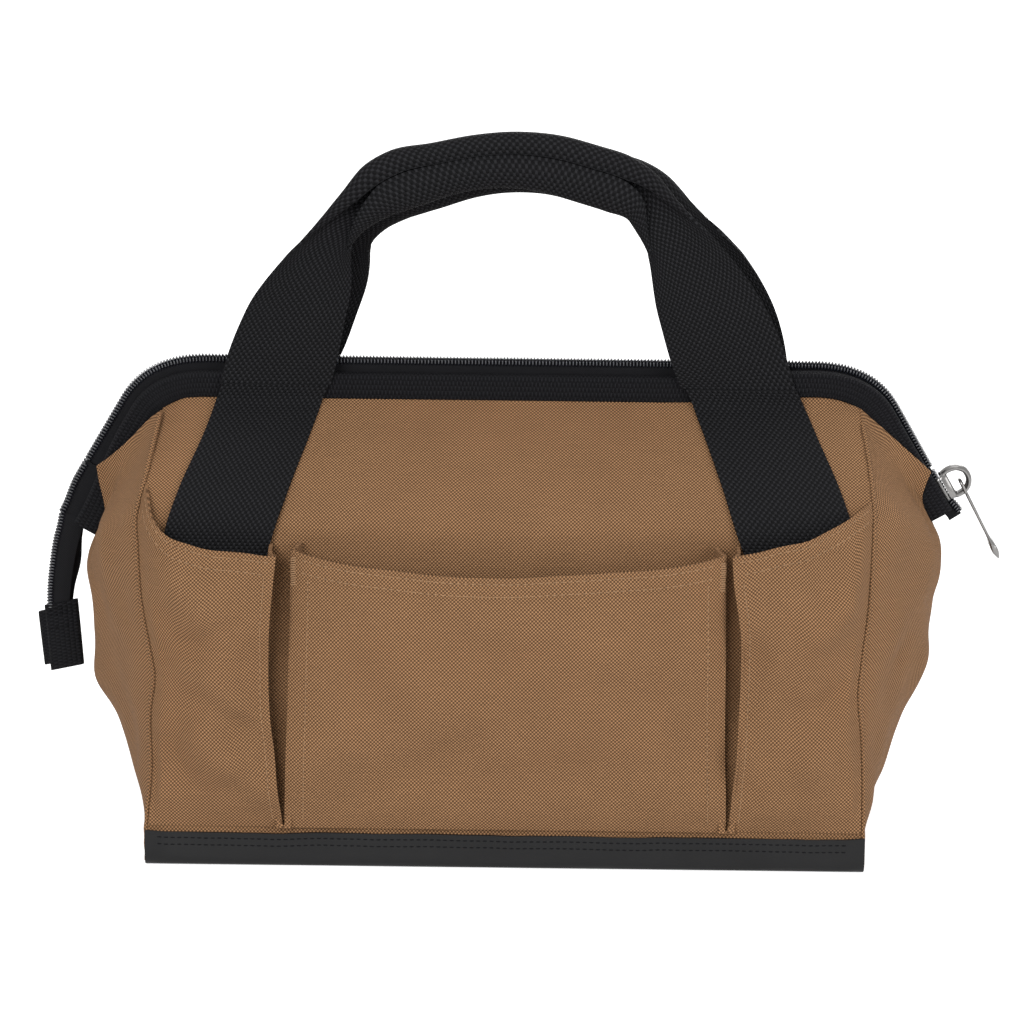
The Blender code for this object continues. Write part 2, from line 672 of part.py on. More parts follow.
def build_zip_end(hand, word):
    """The fixed end of the zip below the hinged mouth: teeth, tape and a foot sewn to the gusset."""
    _, out = slope_direction()
    top = ZIP_JAW_END_HEIGHT - DOUBLE_GAP
    bottom = TAIL_TOP_HEIGHT + GAP
    inner = TEETH_HEIGHT / out.x
    tape = END_TAPE_INNER / out.x
    foot_x = gusset_x(END_FOOT_TOP) + CLOTH + GAP
    low_x = gusset_x(END_FOOT_BOTTOM) + CLOTH + TRIPLE_GAP
    strip = [
        (hand * slope_x(top), top),
        (hand * slope_x(bottom), bottom),
        (hand * (slope_x(bottom) - inner), bottom),
        (hand * (slope_x(top) - inner), top),
    ]
    half = TEETH_HALF_WIDTH
    end = link(f"{word}_zip_end", prism_mesh(strip, -half, half), "teeth")
    backing = [
        (hand * (slope_x(top) - inner / 2), top),
        (hand * (slope_x(bottom) - inner / 2), bottom),
        (hand * (low_x + TONGUE_CLEARANCE), END_FOOT_BOTTOM),
        (hand * (foot_x + CLOTH), END_FOOT_TOP),
        (hand * (slope_x(PIVOT_HEIGHT) - tape), END_FOOT_TOP + (PIVOT_HEIGHT - END_FOOT_TOP) / 2),
        (hand * (slope_x(top) - tape), top),
    ]
    join(end, prism_mesh(backing, -TAPE_HALF_WIDTH, TAPE_HALF_WIDTH), f"{word}_zip_end_tape")


def upper_outline():
    """Lower edge of an upper panel, left to right, matched to the mouth's points: (x, distance, height)."""
    points, _ = mouth_path(BINDING_END_HEIGHT)
    middle = len(points) // 2
    edge = []
    for i, p in enumerate(points):
        steps = abs(i - middle)
        hand = RIGHT if i > middle else LEFT
        if steps <= FLAT_STEPS:
            edge.append((p.x * UPPER_BASE_WIDTH / MOUTH_FLAT_WIDTH, UPPER_BASE_DEPTH / 2, 0))
        else:
            share = (steps - FLAT_STEPS) / (CORNER_STEPS + SLOPE_STEPS)
            y = mix(UPPER_BASE_DEPTH / 2, UPPER_SIDE_GAP, share)
            turn = math.cos(math.pi * y / UPPER_BASE_DEPTH)
            x = mix(UPPER_BASE_WIDTH, UPPER_SIDE_WIDTH, turn) / 2
            edge.append((hand * x, y, share))
    return edge


def upper_rows(side):
    """Rows of the upper panel's outer face, from its lower edge to the binding."""
    y = side * UPPER_TOP_Y
    near = (BINDING_INNER + DOUBLE_GAP, y)
    far = (BINDING_INNER + UPPER_EDGE_GAP, y)
    edges = mouth_rings(BINDING_END_HEIGHT, [near, far])
    high = [mix(a, b, share) for (a, b), (_, _, share) in zip(edges, upper_outline())]
    lowest = []
    knee = []
    for x, y, share in upper_outline():
        z = mix(UPPER_BASE_HEIGHT, PIVOT_HEIGHT + UPPER_SIDE_GAP, share)
        lowest.append(Vector((x, side * y, z)))
        rise = mix(UPPER_KNEE_RISE, UPPER_SIDE_GAP, share)
        near = mix(UPPER_KNEE_SHARE, 1, share)
        knee.append(Vector((x, side * y * near, z + rise)))
    rows = [lowest, knee]
    for k in range(1, UPPER_ROWS + 1):
        rows.append([mix(a, b, k / UPPER_ROWS) for a, b in zip(knee, high)])
    return rows


def chord_y(z):
    """Distance of the upper panel's outer face from the middle plane, along its flat stretch."""
    low_z = UPPER_BASE_HEIGHT + UPPER_KNEE_RISE
    low_y = UPPER_BASE_DEPTH / 2 * UPPER_KNEE_SHARE
    high_z = MOUTH_HEIGHT - BINDING_INNER
    return mix(low_y, UPPER_TOP_Y, (z - low_z) / (high_z - low_z))


def build_upper_strap(side, word, hand, hand_word):
    """The stretch of webbing sewn over one upper panel and its binding."""
    knee_z = MOUTH_HEIGHT - BINDING_INNER
    heights = [mix(STRAP_START_HEIGHT, knee_z, i / STRAP_ROWS) for i in range(STRAP_ROWS)]
    front_face = BINDING_FAR + STRAP_THICKNESS + DOUBLE_GAP
    places = [(z, chord_y(z) + STRAP_SLOPE_RISE) for z in heights]
    places += [(knee_z, front_face), (STRAP_END_HEIGHT, front_face)]
    run_z = STRAP_END_HEIGHT - STRAP_START_HEIGHT
    run_x = STRAP_RIM_X - STRAP_END_X
    half = STRAP_WIDTH / 2 * math.hypot(run_x, run_z) / run_z
    rows = []
    for z, y in places:
        x = mix(STRAP_RIM_X, STRAP_END_X, (z - STRAP_START_HEIGHT) / run_z)
        across = (x - half, x + half) if hand == RIGHT else (-x - half, -x + half)
        rows.append([Vector((a, side * y, z)) for a in (across[0], hand * x, across[1])])
    return link(f"{word}_{hand_word}_strap", shell_mesh(rows, STRAP_THICKNESS), "webbing")


def build_strap_end(side, word, hand, hand_word):
    """The lower end of a handle's webbing, sewn down the outside of a panel behind a side pocket."""
    rows = []
    for k in range(STRAP_ROWS + 1):
        z = mix(STRAP_FOOT_HEIGHT, RIM_HEIGHT - CLOTH, k / STRAP_ROWS)
        x = mix(STRAP_FOOT_X, STRAP_RIM_X, k / STRAP_ROWS)
        y = panel_depth(z) + GAP + STRAP_THICKNESS
        row = [
            Vector((hand * x + a * STRAP_WIDTH / 2, side * y, z))
            for a in (-1, 0, 1)
        ]
        rows.append(row)
    link(f"{word}_{hand_word}_strap_end", shell_mesh(rows, STRAP_THICKNESS), "webbing")


def build_upper(side, word):
    """One half of the hinged mouth: panel, binding, rod, zip half and two strap pieces."""
    pivot = empty(f"{word}_mouth_pivot", (0, 0, PIVOT_HEIGHT))
    panel = link(f"{word}_upper_panel", shell_mesh(upper_rows(side), UPPER_CLOTH), "canvas")
    carry(pivot, panel, build_binding(side, word), build_rod(side, word))
    carry(pivot, *build_zip(side, word))
    for hand, hand_word in HANDS:
        carry(pivot, build_upper_strap(side, word, hand, hand_word))


def pocket_rows(side, low_x, high_x, top, depth):
    """Rows of a pocket's outer face: a pouch that stands off the panel between two side edges."""
    rows = []
    foot = TRIM_HEIGHT + DOUBLE_GAP
    for i in range(POCKET_ROWS + 1):
        share = i / POCKET_ROWS
        row = []
        for j in range(POCKET_COLUMNS + 1):
            across = j / POCKET_COLUMNS
            u = 2 * across - 1
            z = mix(foot, top(across), share)
            x = mix(low_x(z), high_x(z), across)
            # full at its middle, flat at its stitched sides and foot
            swell = mix(POCKET_FOOT_SHARE, 1, ease(share)) * depth * (1 - u**POCKET_FULLNESS)
            swell *= min(1, i)
            off = panel_depth(z) + DOUBLE_GAP + POCKET_CLOTH + swell
            row.append(Vector((x, side * off, z)))
        rows.append(row)
    return rows


def build_pockets(side, word):
    half = CENTRE_POCKET_HALF_WIDTH

    def centre_top(across):
        u = 2 * across - 1
        return CENTRE_POCKET_TOP - CENTRE_POCKET_DIP * (1 - u * u)

    rows = pocket_rows(side, lambda z: -half, lambda z: half, centre_top, POCKET_DEPTH)
    link(f"{word}_centre_pocket", shell_mesh(rows, POCKET_CLOTH), "canvas")
    for hand, hand_word in HANDS:

        def side_top(across, hand=hand):
            outer = across if hand == RIGHT else 1 - across
            return mix(SIDE_POCKET_TOP, SIDE_POCKET_CORNER, outer**POCKET_CORNER_POWER)

        def inner(z, hand=hand):
            return hand * SIDE_POCKET_INNER

        def outer(z, hand=hand):
            return hand * (seam_x(min(z, RIM_HEIGHT)) - SIDE_POCKET_EDGE_IN)

        ends = (inner, outer) if hand == RIGHT else (outer, inner)
        rows = pocket_rows(side, *ends, side_top, SIDE_POCKET_DEPTH)
        link(f"{word}_{hand_word}_pocket", shell_mesh(rows, POCKET_CLOTH), "canvas")


def handle_path(shift, drop):
    """Centre line of a handle from its left foot to its right one: (x, z, width, thickness, lean)."""
    foot_z = STRAP_END_HEIGHT + DOUBLE_GAP
    half_x = mix(STRAP_END_X, LEG_SHOULDER_X, LEG_HALFWAY_SHARE)
    half_z = mix(foot_z, LEG_SHOULDER_HEIGHT, LEG_HALFWAY_SHARE)
    legs = [
        (STRAP_END_X, foot_z, STRAP_WIDTH, STRAP_THICKNESS),
        (half_x, half_z, STRAP_WIDTH, STRAP_THICKNESS),
        (LEG_SHOULDER_X, LEG_SHOULDER_HEIGHT, STRAP_WIDTH, SHOULDER_THICKNESS),
        (LEG_NECK_X, LEG_NECK_HEIGHT, NECK_WIDTH, NECK_THICKNESS),
    ]
    grip = []
    for k in range(GRIP_STEPS + 1):
        u = 2 * k / GRIP_STEPS - 1
        z = GRIP_CENTRE_HEIGHT - GRIP_SAG * u * u
        grip.append((u * GRIP_HALF_LENGTH, z, GRIP_HEIGHT, GRIP_DEPTH))
    left = [(-x, z, w, t) for x, z, w, t in legs]
    right = list(reversed(legs))
    points = []
    for x, z, w, t in left + grip + right:
        lean = (z - foot_z) / (GRIP_CENTRE_HEIGHT - foot_z)
        points.append((x + shift * lean, z - drop * lean, w, t, lean))
    return points


def build_handle(side, word):
    """A loop of webbing, flat at its feet and folded round into a grip, hinged at the mouth's binding."""
    path = handle_path(REAR_HANDLE_SHIFT, REAR_HANDLE_DROP) if side == REAR else handle_path(0, 0)
    foot_y = BINDING_FAR + STRAP_THICKNESS / 2 + DOUBLE_GAP
    rings = []
    for i, (x, z, width, thickness, lean) in enumerate(path):
        before = path[max(i - 1, 0)]
        after = path[min(i + 1, len(path) - 1)]
        along = Vector((after[0] - before[0], after[1] - before[1])).normalized()
        across = Vector((-along.y, along.x))
        if i in (0, len(path) - 1):
            across = Vector((-1, 0)) if i == 0 else Vector((1, 0))
        y = side * mix(foot_y, GRIP_CENTRE_Y, lean)
        half = width / 2
        round_off = min(thickness, half) * HANDLE_ROUND_SHARE
        ring = []
        for w, d in (
            (half, -thickness / 2 + round_off),
            (half, thickness / 2 - round_off),
            (half - round_off, thickness / 2),
            (-half + round_off, thickness / 2),
            (-half, thickness / 2 - round_off),
            (-half, -thickness / 2 + round_off),
            (-half + round_off, -thickness / 2),
            (half - round_off, -thickness / 2),
        ):
            ring.append(Vector((x + across.x * w, y + d, z + across.y * w)))
        rings.append(ring)
    # it folds about its outer face, so that it clears the end of the strap below it
    fold_y = foot_y + STRAP_THICKNESS / 2 + GAP
    pivot = empty(f"{word}_handle_pivot", (0, side * fold_y, STRAP_END_HEIGHT + GAP))
    carry(pivot, link(f"{word}_handle", sweep_mesh(rings), "webbing"))


def slope_prism(points, low_y, high_y, origin):
    """A prism whose outline is given up the slope and outwards from the mouth outline."""
    up, out = slope_direction()
    outline = [origin + up * a + out * b for a, b in points]
    return prism_mesh([(p.x, p.y) for p in outline], low_y, high_y)


def build_slider():
    """The zip slider, with a channel for the teeth, a slot for the tape and a bridge for the pull."""
    origin = Vector((slope_x(SLIDER_HEIGHT), SLIDER_HEIGHT))
    half = SLIDER_LENGTH / 2
    depth = SLIDER_HALF_DEPTH
    taper = SLIDER_TAPER
    body = [
        (-half, -SLIDER_SKIRT),
        (half, -SLIDER_SKIRT),
        (half, SLIDER_TOP - SLIDER_PLAY),
        (half - taper, SLIDER_TOP),
        (-half + taper, SLIDER_TOP),
        (-half, SLIDER_TOP - SLIDER_PLAY),
    ]
    slider = link("zip_slider", slope_prism(body, -depth, depth, origin), "nickel")
    reach = half + CUT_OVERRUN
    channel = [
        (-reach, -SLIDER_LIP),
        (reach, -SLIDER_LIP),
        (reach, SLIDER_PLAY),
        (-reach, SLIDER_PLAY),
    ]
    wide = TEETH_HALF_WIDTH + SLIDER_PLAY
    cut(slider, slope_prism(channel, -wide, wide, origin), "slider_channel")
    slot = [
        (-reach, -SLIDER_SKIRT - CUT_OVERRUN),
        (reach, -SLIDER_SKIRT - CUT_OVERRUN),
        (reach, -SLIDER_PLAY),
        (-reach, -SLIDER_PLAY),
    ]
    cut(slider, slope_prism(slot, -SLIDER_SLOT, SLIDER_SLOT, origin), "slider_slot")
    high = SLIDER_TOP + BRIDGE_HEIGHT
    length = BRIDGE_HALF_LENGTH
    bar = BRIDGE_BAR
    bridge = [
        (-length, SLIDER_TOP - SLIDER_PLAY),
        (-length + bar, SLIDER_TOP - SLIDER_PLAY),
        (-length + bar, high - bar),
        (length - bar, high - bar),
        (length - bar, SLIDER_TOP - SLIDER_PLAY),
        (length, SLIDER_TOP - SLIDER_PLAY),
        (length, high - bar / 2),
        (length - bar, high),
        (-length + bar, high),
        (-length, high - bar / 2),
    ]
    deep = BRIDGE_HALF_DEPTH
    join(slider, slope_prism(bridge, -deep, deep, origin), "slider_bridge")
    return slider, origin


def build_pull(origin):
    """The long flat pull, whose eye goes round the bridge's lower leg."""
    up, out = slope_direction()
    middle = SLIDER_TOP + PULL_PIVOT_RISE
    window = BRIDGE_HALF_LENGTH - BRIDGE_BAR
    pivot = origin + out * middle - up * (window - PULL_BAR / 2 - PULL_CLEARANCE)
    along = Vector((PULL_TILT_X, PULL_TILT_Z)).normalized()
    flat = Vector((-along.y, along.x))
    turn = empty("zip_pull_pivot", (pivot.x, 0, pivot.y))
    half = PULL_THICKNESS / 2
    thick = PULL_TIP_THICKNESS / 2
    start = -PULL_BAR / 2
    end = start + PULL_LENGTH
    profile = [
        (start, -half),
        (end - PULL_TIP_LENGTH, -half),
        (end - PULL_TIP_LENGTH / 2, -thick),
        (end, -half),
        (end, half),
        (end - PULL_TIP_LENGTH / 2, thick),
        (end - PULL_TIP_LENGTH, half),
        (start, half),
    ]

    def place(points):
        return [tuple(pivot + along * a + flat * b) for a, b in points]

    wide = PULL_WIDTH / 2
    pull = link("zip_pull", prism_mesh(place(profile), -wide, wide), "nickel")
    reach = half + CUT_OVERRUN
    hole = [
        (PULL_BAR / 2, -reach),
        (PULL_BAR / 2 + PULL_EYE_LENGTH, -reach),
        (PULL_BAR / 2 + PULL_EYE_LENGTH, reach),
        (PULL_BAR / 2, reach),
    ]
    gap = BRIDGE_HALF_DEPTH + PULL_CLEARANCE
    cut(pull, prism_mesh(place(hole), -gap, gap), "pull_eye")
    carry(turn, pull)
    return pull


def build_tail():
    """The free end of the zip at the left, and the folded webbing tab sewn round it."""
    rings = []
    for k in range(TAIL_STEPS + 1):
        share = k / TAIL_STEPS
        z = mix(TAIL_TOP_HEIGHT, TAIL_END_HEIGHT, share)
        x = mix(TAIL_START_X, TAIL_END_X, share) + TAIL_BOW * math.sin(math.pi * share)
        edge = TAIL_HALF_DEPTH
        slant = TAIL_SLANT * (1 - share)
        step = slant * TEETH_HEIGHT / TAIL_WIDTH
        ring = [
            Vector((-x, -edge, z)),
            Vector((-x, edge, z)),
            Vector((-x + TEETH_HEIGHT, edge, z - step)),
            Vector((-x + TEETH_HEIGHT, TAPE_HALF_WIDTH, z - step)),
            Vector((-x + TAIL_WIDTH, TAPE_HALF_WIDTH, z - slant)),
            Vector((-x + TAIL_WIDTH, -TAPE_HALF_WIDTH, z - slant)),
            Vector((-x + TEETH_HEIGHT, -TAPE_HALF_WIDTH, z - step)),
            Vector((-x + TEETH_HEIGHT, -edge, z - step)),
        ]
        rings.append(ring)
    turn = empty("zip_tail_pivot", (-TAIL_START_X, 0, TAIL_TOP_HEIGHT))
    tail = link("zip_tail", sweep_mesh(rings), "tape")
    middle = -TAIL_END_X + TAIL_WIDTH / 2
    top = TAIL_END_HEIGHT - GAP
    outline = [
        (middle - TAB_WIDTH / 2, top),
        (middle + TAB_WIDTH / 2, top),
        (middle + TAB_WIDTH / 2 + TAB_SKEW, top - TAB_LENGTH + TAB_SKEW),
        (middle - TAB_WIDTH / 2 + TAB_LEAN, top - TAB_LENGTH),
    ]
    tab = link("zip_tail_tab", prism_mesh(outline, -TAB_HALF_DEPTH, TAB_HALF_DEPTH), "webbing")
    carry(turn, tail, tab)


def main():
    for old in list(bpy.data.objects):
        bpy.data.objects.remove(old, do_unlink=True)
    build_body()
    for side, word in SIDES:
        build_pockets(side, word)
        build_upper(side, word)
        build_handle(side, word)
        for hand, hand_word in HANDS:
            build_strap_end(side, word, hand, hand_word)
    for hand, word in HANDS:
        build_pivot(hand, word)
        build_zip_end(hand, word)
    _, origin = build_slider()
    build_pull(origin)
    build_tail()


main()
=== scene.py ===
"""Looks of a gate-mouth tool bag: brown canvas, black webbing, a coated base and a coil zip.

Lengths are in millimetres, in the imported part's frame: X along the bag, -Y its front, +Z up.
"""

import math

import bpy
import numpy as np
from mathutils import Matrix, Vector


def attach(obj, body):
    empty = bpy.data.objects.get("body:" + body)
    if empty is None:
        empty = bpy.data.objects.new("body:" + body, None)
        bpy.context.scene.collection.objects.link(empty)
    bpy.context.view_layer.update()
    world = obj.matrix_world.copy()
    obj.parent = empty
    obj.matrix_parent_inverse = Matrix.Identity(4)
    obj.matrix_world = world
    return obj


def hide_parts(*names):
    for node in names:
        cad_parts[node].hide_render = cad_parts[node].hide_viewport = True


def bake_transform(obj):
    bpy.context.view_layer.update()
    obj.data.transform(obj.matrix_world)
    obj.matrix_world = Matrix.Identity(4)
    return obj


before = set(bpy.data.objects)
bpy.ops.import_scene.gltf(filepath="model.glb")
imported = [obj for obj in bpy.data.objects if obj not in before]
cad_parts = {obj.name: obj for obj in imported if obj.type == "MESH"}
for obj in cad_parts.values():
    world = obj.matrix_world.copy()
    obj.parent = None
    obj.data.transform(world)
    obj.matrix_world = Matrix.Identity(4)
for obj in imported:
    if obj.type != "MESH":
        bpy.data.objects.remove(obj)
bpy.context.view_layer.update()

MM = 0.001
FRONT, REAR = -1, 1
LEFT, RIGHT = -1, 1
SIDES = ((FRONT, "front"), (REAR, "rear"))
HANDS = ((LEFT, "left"), (RIGHT, "right"))

# The mouth's outline, the outer edge of the zip teeth
MOUTH_HEIGHT = 211.0
MOUTH_FLAT = 140.0
SLOPE_TOP = (181.0, 190.0)
SLOPE_END = (214.0, 135.0)
JAW_END = 160.0
BINDING_END = 136.0
BINDING_IN = (6.6, 18.4)
BINDING_Y = (1.8, 9.2)
PIVOT_HEIGHT = 143.0

# Spans of height given with pieces that lie between two bodies; such pieces are attached to neither
MOUTH_BEND = (134.0, 170.0)
BINDING_BEND = (137.0, 151.0)
HANDLE_BEND = (199.0, 224.0)
TAIL_BEND = (133.5, 108.0)
CLOTH = 1.3
POCKET_CLOTH = 1.5
WEBBING = 2.2
WEBBING_WIDTH = 50.0

# The front panel's outer face: distance from the middle plane, by height
WALL = ((0, 100), (40, 89.5), (80, 79.2), (121, 68.8), (140, 64), (149, 61), (156.5, 55.2),
        (163.5, 47), (171.5, 37), (179, 27), (186.5, 16), (193.5, 7.6))
# The seams of panel and gusset: height and X
SEAM_LEFT = ((0, 161.6), (15, 162), (42, 159.8), (68, 160.2), (84, 158.4), (95, 160.3),
             (115, 164), (143, 166), (152, 166.6), (164, 164.3), (188, 160.2))
SEAM_RIGHT = ((0, 161.3), (25, 161.6), (58, 160.4), (81, 158.4), (90, 159.2), (116, 161.9),
              (147, 163.2), (158, 163.6), (170, 163.2), (188, 161.4))
# The fold down the middle of each gusset: height, X and distance from the middle plane
FOLD_LEFT = ((0.5, 162, -0.4), (15, 177.5, -0.4), (30, 185.5, -0.4), (50, 192.6, -0.4),
             (70, 196.6, -0.4), (90, 198.6, -0.4), (107, 198.8, -0.4), (120, 195.4, 1.6),
             (129, 191.2, 7), (136.5, 188.9, 10.4), (143, 189.2, 11.4), (152, 190.8, 11.8),
             (159.5, 191.6, 11.9))
FOLD_RIGHT = ((0.5, 162, -0.4), (15, 178.5, -0.4), (30, 187, -0.4), (50, 195.2, -0.4),
              (70, 200, -0.4), (90, 202.6, -0.4), (110, 204.2, -0.4), (122, 203.6, 0.4),
              (133, 199.8, 3.8), (141, 195.4, 8), (148, 192.6, 10.8), (155, 193.6, 11.6),
              (161.5, 195.6, 11.9))


def mix(a, b, share):
    return a + (b - a) * share


def ease(share):
    share = np.clip(share, 0, 1)
    return share * share * (3 - 2 * share)


def spline(knots, values):
    """A smooth curve through values at rising knots."""
    knots = np.array(knots, float)
    values = np.array(values, float)
    steps = np.diff(knots)
    rises = (np.diff(values, axis=0).T / steps).T
    slopes = np.empty_like(values)
    slopes[0], slopes[-1] = rises[0], rises[-1]
    near, far = steps[:-1], steps[1:]
    slopes[1:-1] = ((rises[:-1].T * far + rises[1:].T * near) / (near + far)).T

    def at(t):
        t = np.clip(np.asarray(t, float), knots[0], knots[-1])
        i = np.clip(np.searchsorted(knots, t, side="right") - 1, 0, len(steps) - 1)
        h = steps[i]
        s = (t - knots[i]) / h
        if values.ndim > 1:
            h, s = h[..., None], s[..., None]
        a, b = values[i], values[i + 1]
        return (
            a * (2 * s**3 - 3 * s**2 + 1)
            + b * (3 * s**2 - 2 * s**3)
            + slopes[i] * h * (s**3 - 2 * s**2 + s)
            + slopes[i + 1] * h * (s**3 - s**2)
        )

    return at


def table(rows, column=1):
    return spline([r[0] for r in rows], [r[column] for r in rows])


wall = table(WALL)
SEAMS = {LEFT: table(SEAM_LEFT), RIGHT: table(SEAM_RIGHT)}
FOLDS = {LEFT: FOLD_LEFT, RIGHT: FOLD_RIGHT}


def lengths(points):
    """Distance run along rows of points."""
    steps = np.linalg.norm(np.diff(points, axis=0), axis=-1)
    return np.concatenate([np.zeros((1, *steps.shape[1:])), np.cumsum(steps, axis=0)])


def read(values, run, at):
    """Rows of values known at the distances run, read at other distances."""
    return np.stack([np.interp(at, run, column) for column in np.transpose(values)], axis=-1)


def resample(points, count):
    """The same line with its points evenly spaced."""
    run = lengths(np.asarray(points, float))
    return read(points, run, np.linspace(0, run[-1], count))


def unit(vectors):
    return vectors / np.maximum(np.linalg.norm(vectors, axis=-1, keepdims=True), 1e-9)


def points_of(*columns):
    return np.stack(np.broadcast_arrays(*columns), axis=-1)


def uv_grid(across, along):
    return points_of(across[None, :], along[:, None])


def grid_faces(rows, cols, first=0, loop=False, flip=False):
    r, c = np.meshgrid(np.arange(rows - 1), np.arange(cols if loop else cols - 1), indexing="ij")
    d = (c + 1) % cols
    quads = points_of(r * cols + c, r * cols + d, (r + 1) * cols + d, (r + 1) * cols + c)
    quads = quads.reshape(-1, 4) + first
    return quads[:, ::-1] if flip else quads


def make(name, verts, faces, uvs, material, sharp):
    """A mesh object from millimetres, with one UV per vertex."""
    mesh = bpy.data.meshes.new(name)
    faces = [list(map(int, face)) for face in faces]
    mesh.from_pydata((np.asarray(verts, float) * MM).tolist(), [], faces)
    index = np.empty(len(mesh.loops), np.int32)
    mesh.loops.foreach_get("vertex_index", index)
    layer = mesh.uv_layers.new(name="UVMap")
    layer.data.foreach_set("uv", np.asarray(uvs, np.float32)[index].ravel())
    obj = bpy.data.objects.new(name, mesh)
    bpy.context.scene.collection.objects.link(obj)
    mesh.materials.append(material)
    mesh.shade_smooth()
    mesh.set_sharp_from_angle(angle=math.radians(sharp))
    return obj


def bent(word, span=MOUTH_BEND):
    """The bag, one half of the mouth and a span of height, as a piece's body."""
    return "bag", f"{word}_mouth", *span


def piece(name, parts, material, slot, body, *nodes, sharp=60):
    """One piece of several meshes, on a body, or on none when given two, in the place of CAD nodes.
    """
    obj = make(name, *merge(parts), material, sharp)
    if isinstance(body, str):
        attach(obj, body)
    else:
        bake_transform(obj)
    if nodes:
        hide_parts(*nodes)


def normals_of(grid, facing):
    normal = unit(np.cross(np.gradient(grid, axis=1), np.gradient(grid, axis=0)))
    flip = (normal @ np.array(facing, float)).mean() < 0
    return (-normal if flip else normal), flip


def cloth_parts(grid, thickness, facing, uv=None):
    """Vertices, faces and UVs of a closed sheet whose outer face is the grid."""
    rows, cols = grid.shape[:2]
    normal, flip = normals_of(grid, facing)
    if uv is None:
        run_u = lengths(grid.swapaxes(0, 1)).T
        run_u = run_u - run_u[:, cols // 2 : cols // 2 + 1]
        uv = points_of(run_u, lengths(grid))
    inner = grid - normal * thickness
    verts = np.concatenate([grid.reshape(-1, 3), inner.reshape(-1, 3)])
    count = rows * cols
    r, c = np.arange(rows), np.arange(cols)
    edge = np.concatenate(
        [c, r[1:] * cols + cols - 1, (rows - 1) * cols + c[-2::-1], r[-2:0:-1] * cols]
    )
    nxt = np.roll(edge, -1)
    rim = points_of(edge, edge + count, nxt + count, nxt)
    faces = [
        grid_faces(rows, cols, 0, flip=flip),
        grid_faces(rows, cols, count, flip=not flip),
        rim[:, ::-1] if flip else rim,
    ]
    flat = uv.reshape(-1, 2)
    return verts, np.concatenate(faces), np.concatenate([flat, flat])


def cloth(name, grid, thickness, facing, material, slot, body, *nodes, uv=None):
    parts = [cloth_parts(grid, thickness, facing, uv)]
    piece(name, parts, material, slot, body, *nodes, sharp=50)


def merge(parts):
    """Several (verts, faces, uvs) as one."""
    verts, lists, uvs = zip(*parts)
    starts = np.cumsum([0, *map(len, verts)])
    faces = [[i + start for i in face] for start, some in zip(starts, lists) for face in some]
    return np.concatenate(verts), faces, np.concatenate(uvs)


def sweep_parts(rings):
    """A closed solid through rings of equally many points."""
    rings = np.asarray(rings, float)
    rows, cols = rings.shape[:2]
    ring = rings[rows // 2]
    uv = uv_grid(lengths(ring), lengths(rings.mean(axis=1)))
    faces = grid_faces(rows, cols, 0, loop=True).tolist()
    faces.append(list(range(cols))[::-1])
    faces.append([(rows - 1) * cols + k for k in range(cols)])
    verts = rings.reshape(-1, 3)
    a, b, c = verts[faces[0][0]], verts[faces[0][1]], verts[faces[0][2]]
    if np.cross(b - a, c - b) @ (a - rings[0].mean(axis=0)) < 0:
        faces = [f[::-1] for f in faces]
    return verts, faces, uv.reshape(-1, 2)


def mouth_line(end_height, step=2.0):
    """The mouth outline from left to right, and its outward normals, in X and Z."""
    (tx, tz), (ex, ez) = SLOPE_TOP, SLOPE_END
    slope = (ex - tx) / (ez - tz)
    corner = np.array((tx + slope * (MOUTH_HEIGHT - tz), MOUTH_HEIGHT))
    start, top = np.array((MOUTH_FLAT, MOUTH_HEIGHT)), np.array(SLOPE_TOP)
    t = np.linspace(0, 1, 60)[1:, None]
    curve = mix(mix(start, corner, t), mix(corner, top, t), t)
    end = np.array((tx + slope * (end_height - tz), end_height))
    half = np.concatenate([np.array([[0.0, MOUTH_HEIGHT]]), start[None], curve, end[None]])
    half = resample(half, max(8, int(lengths(half)[-1] / step)))
    points = np.concatenate([half[:0:-1] * (-1, 1), half])
    along = unit(np.gradient(points, axis=0))
    return points, points_of(-along[:, 1], along[:, 0])


def mouth_sweep(section, end_height, step=2.0, shift=None, right_end=None):
    """Rings of a section, given as inward distance and Y, along the mouth."""
    points, normals = mouth_line(end_height, step)
    if right_end is not None:
        keep = (points[:, 0] < 0) | (points[:, 1] >= right_end)
        points, normals = points[keep], normals[keep]
    section = np.array(section, float)
    inward = np.broadcast_to(section[:, 0], (len(points), len(section)))
    if shift is not None:
        inward = inward + shift(points)[:, None]
    x = points[:, :1] - normals[:, :1] * inward
    z = points[:, 1:] - normals[:, 1:] * inward
    return points_of(x, np.broadcast_to(section[:, 1], x.shape), z), points


def ripple(a, b, seed, height, longest=95.0, shortest=24.0):
    """Gentle unevenness of cloth over two lengths, the same on each run."""
    chance = np.random.default_rng(seed)
    total = np.zeros(np.broadcast(a, b).shape)
    for k in range(10):
        wave = longest * (shortest / longest) ** (k / 9)
        turn, phase = chance.uniform(0, 2 * math.pi, 2)
        way = (a * math.cos(turn) + b * math.sin(turn)) * 2 * math.pi / wave
        total = total + np.sin(way + phase) * wave / longest
    return height * total / 2.2


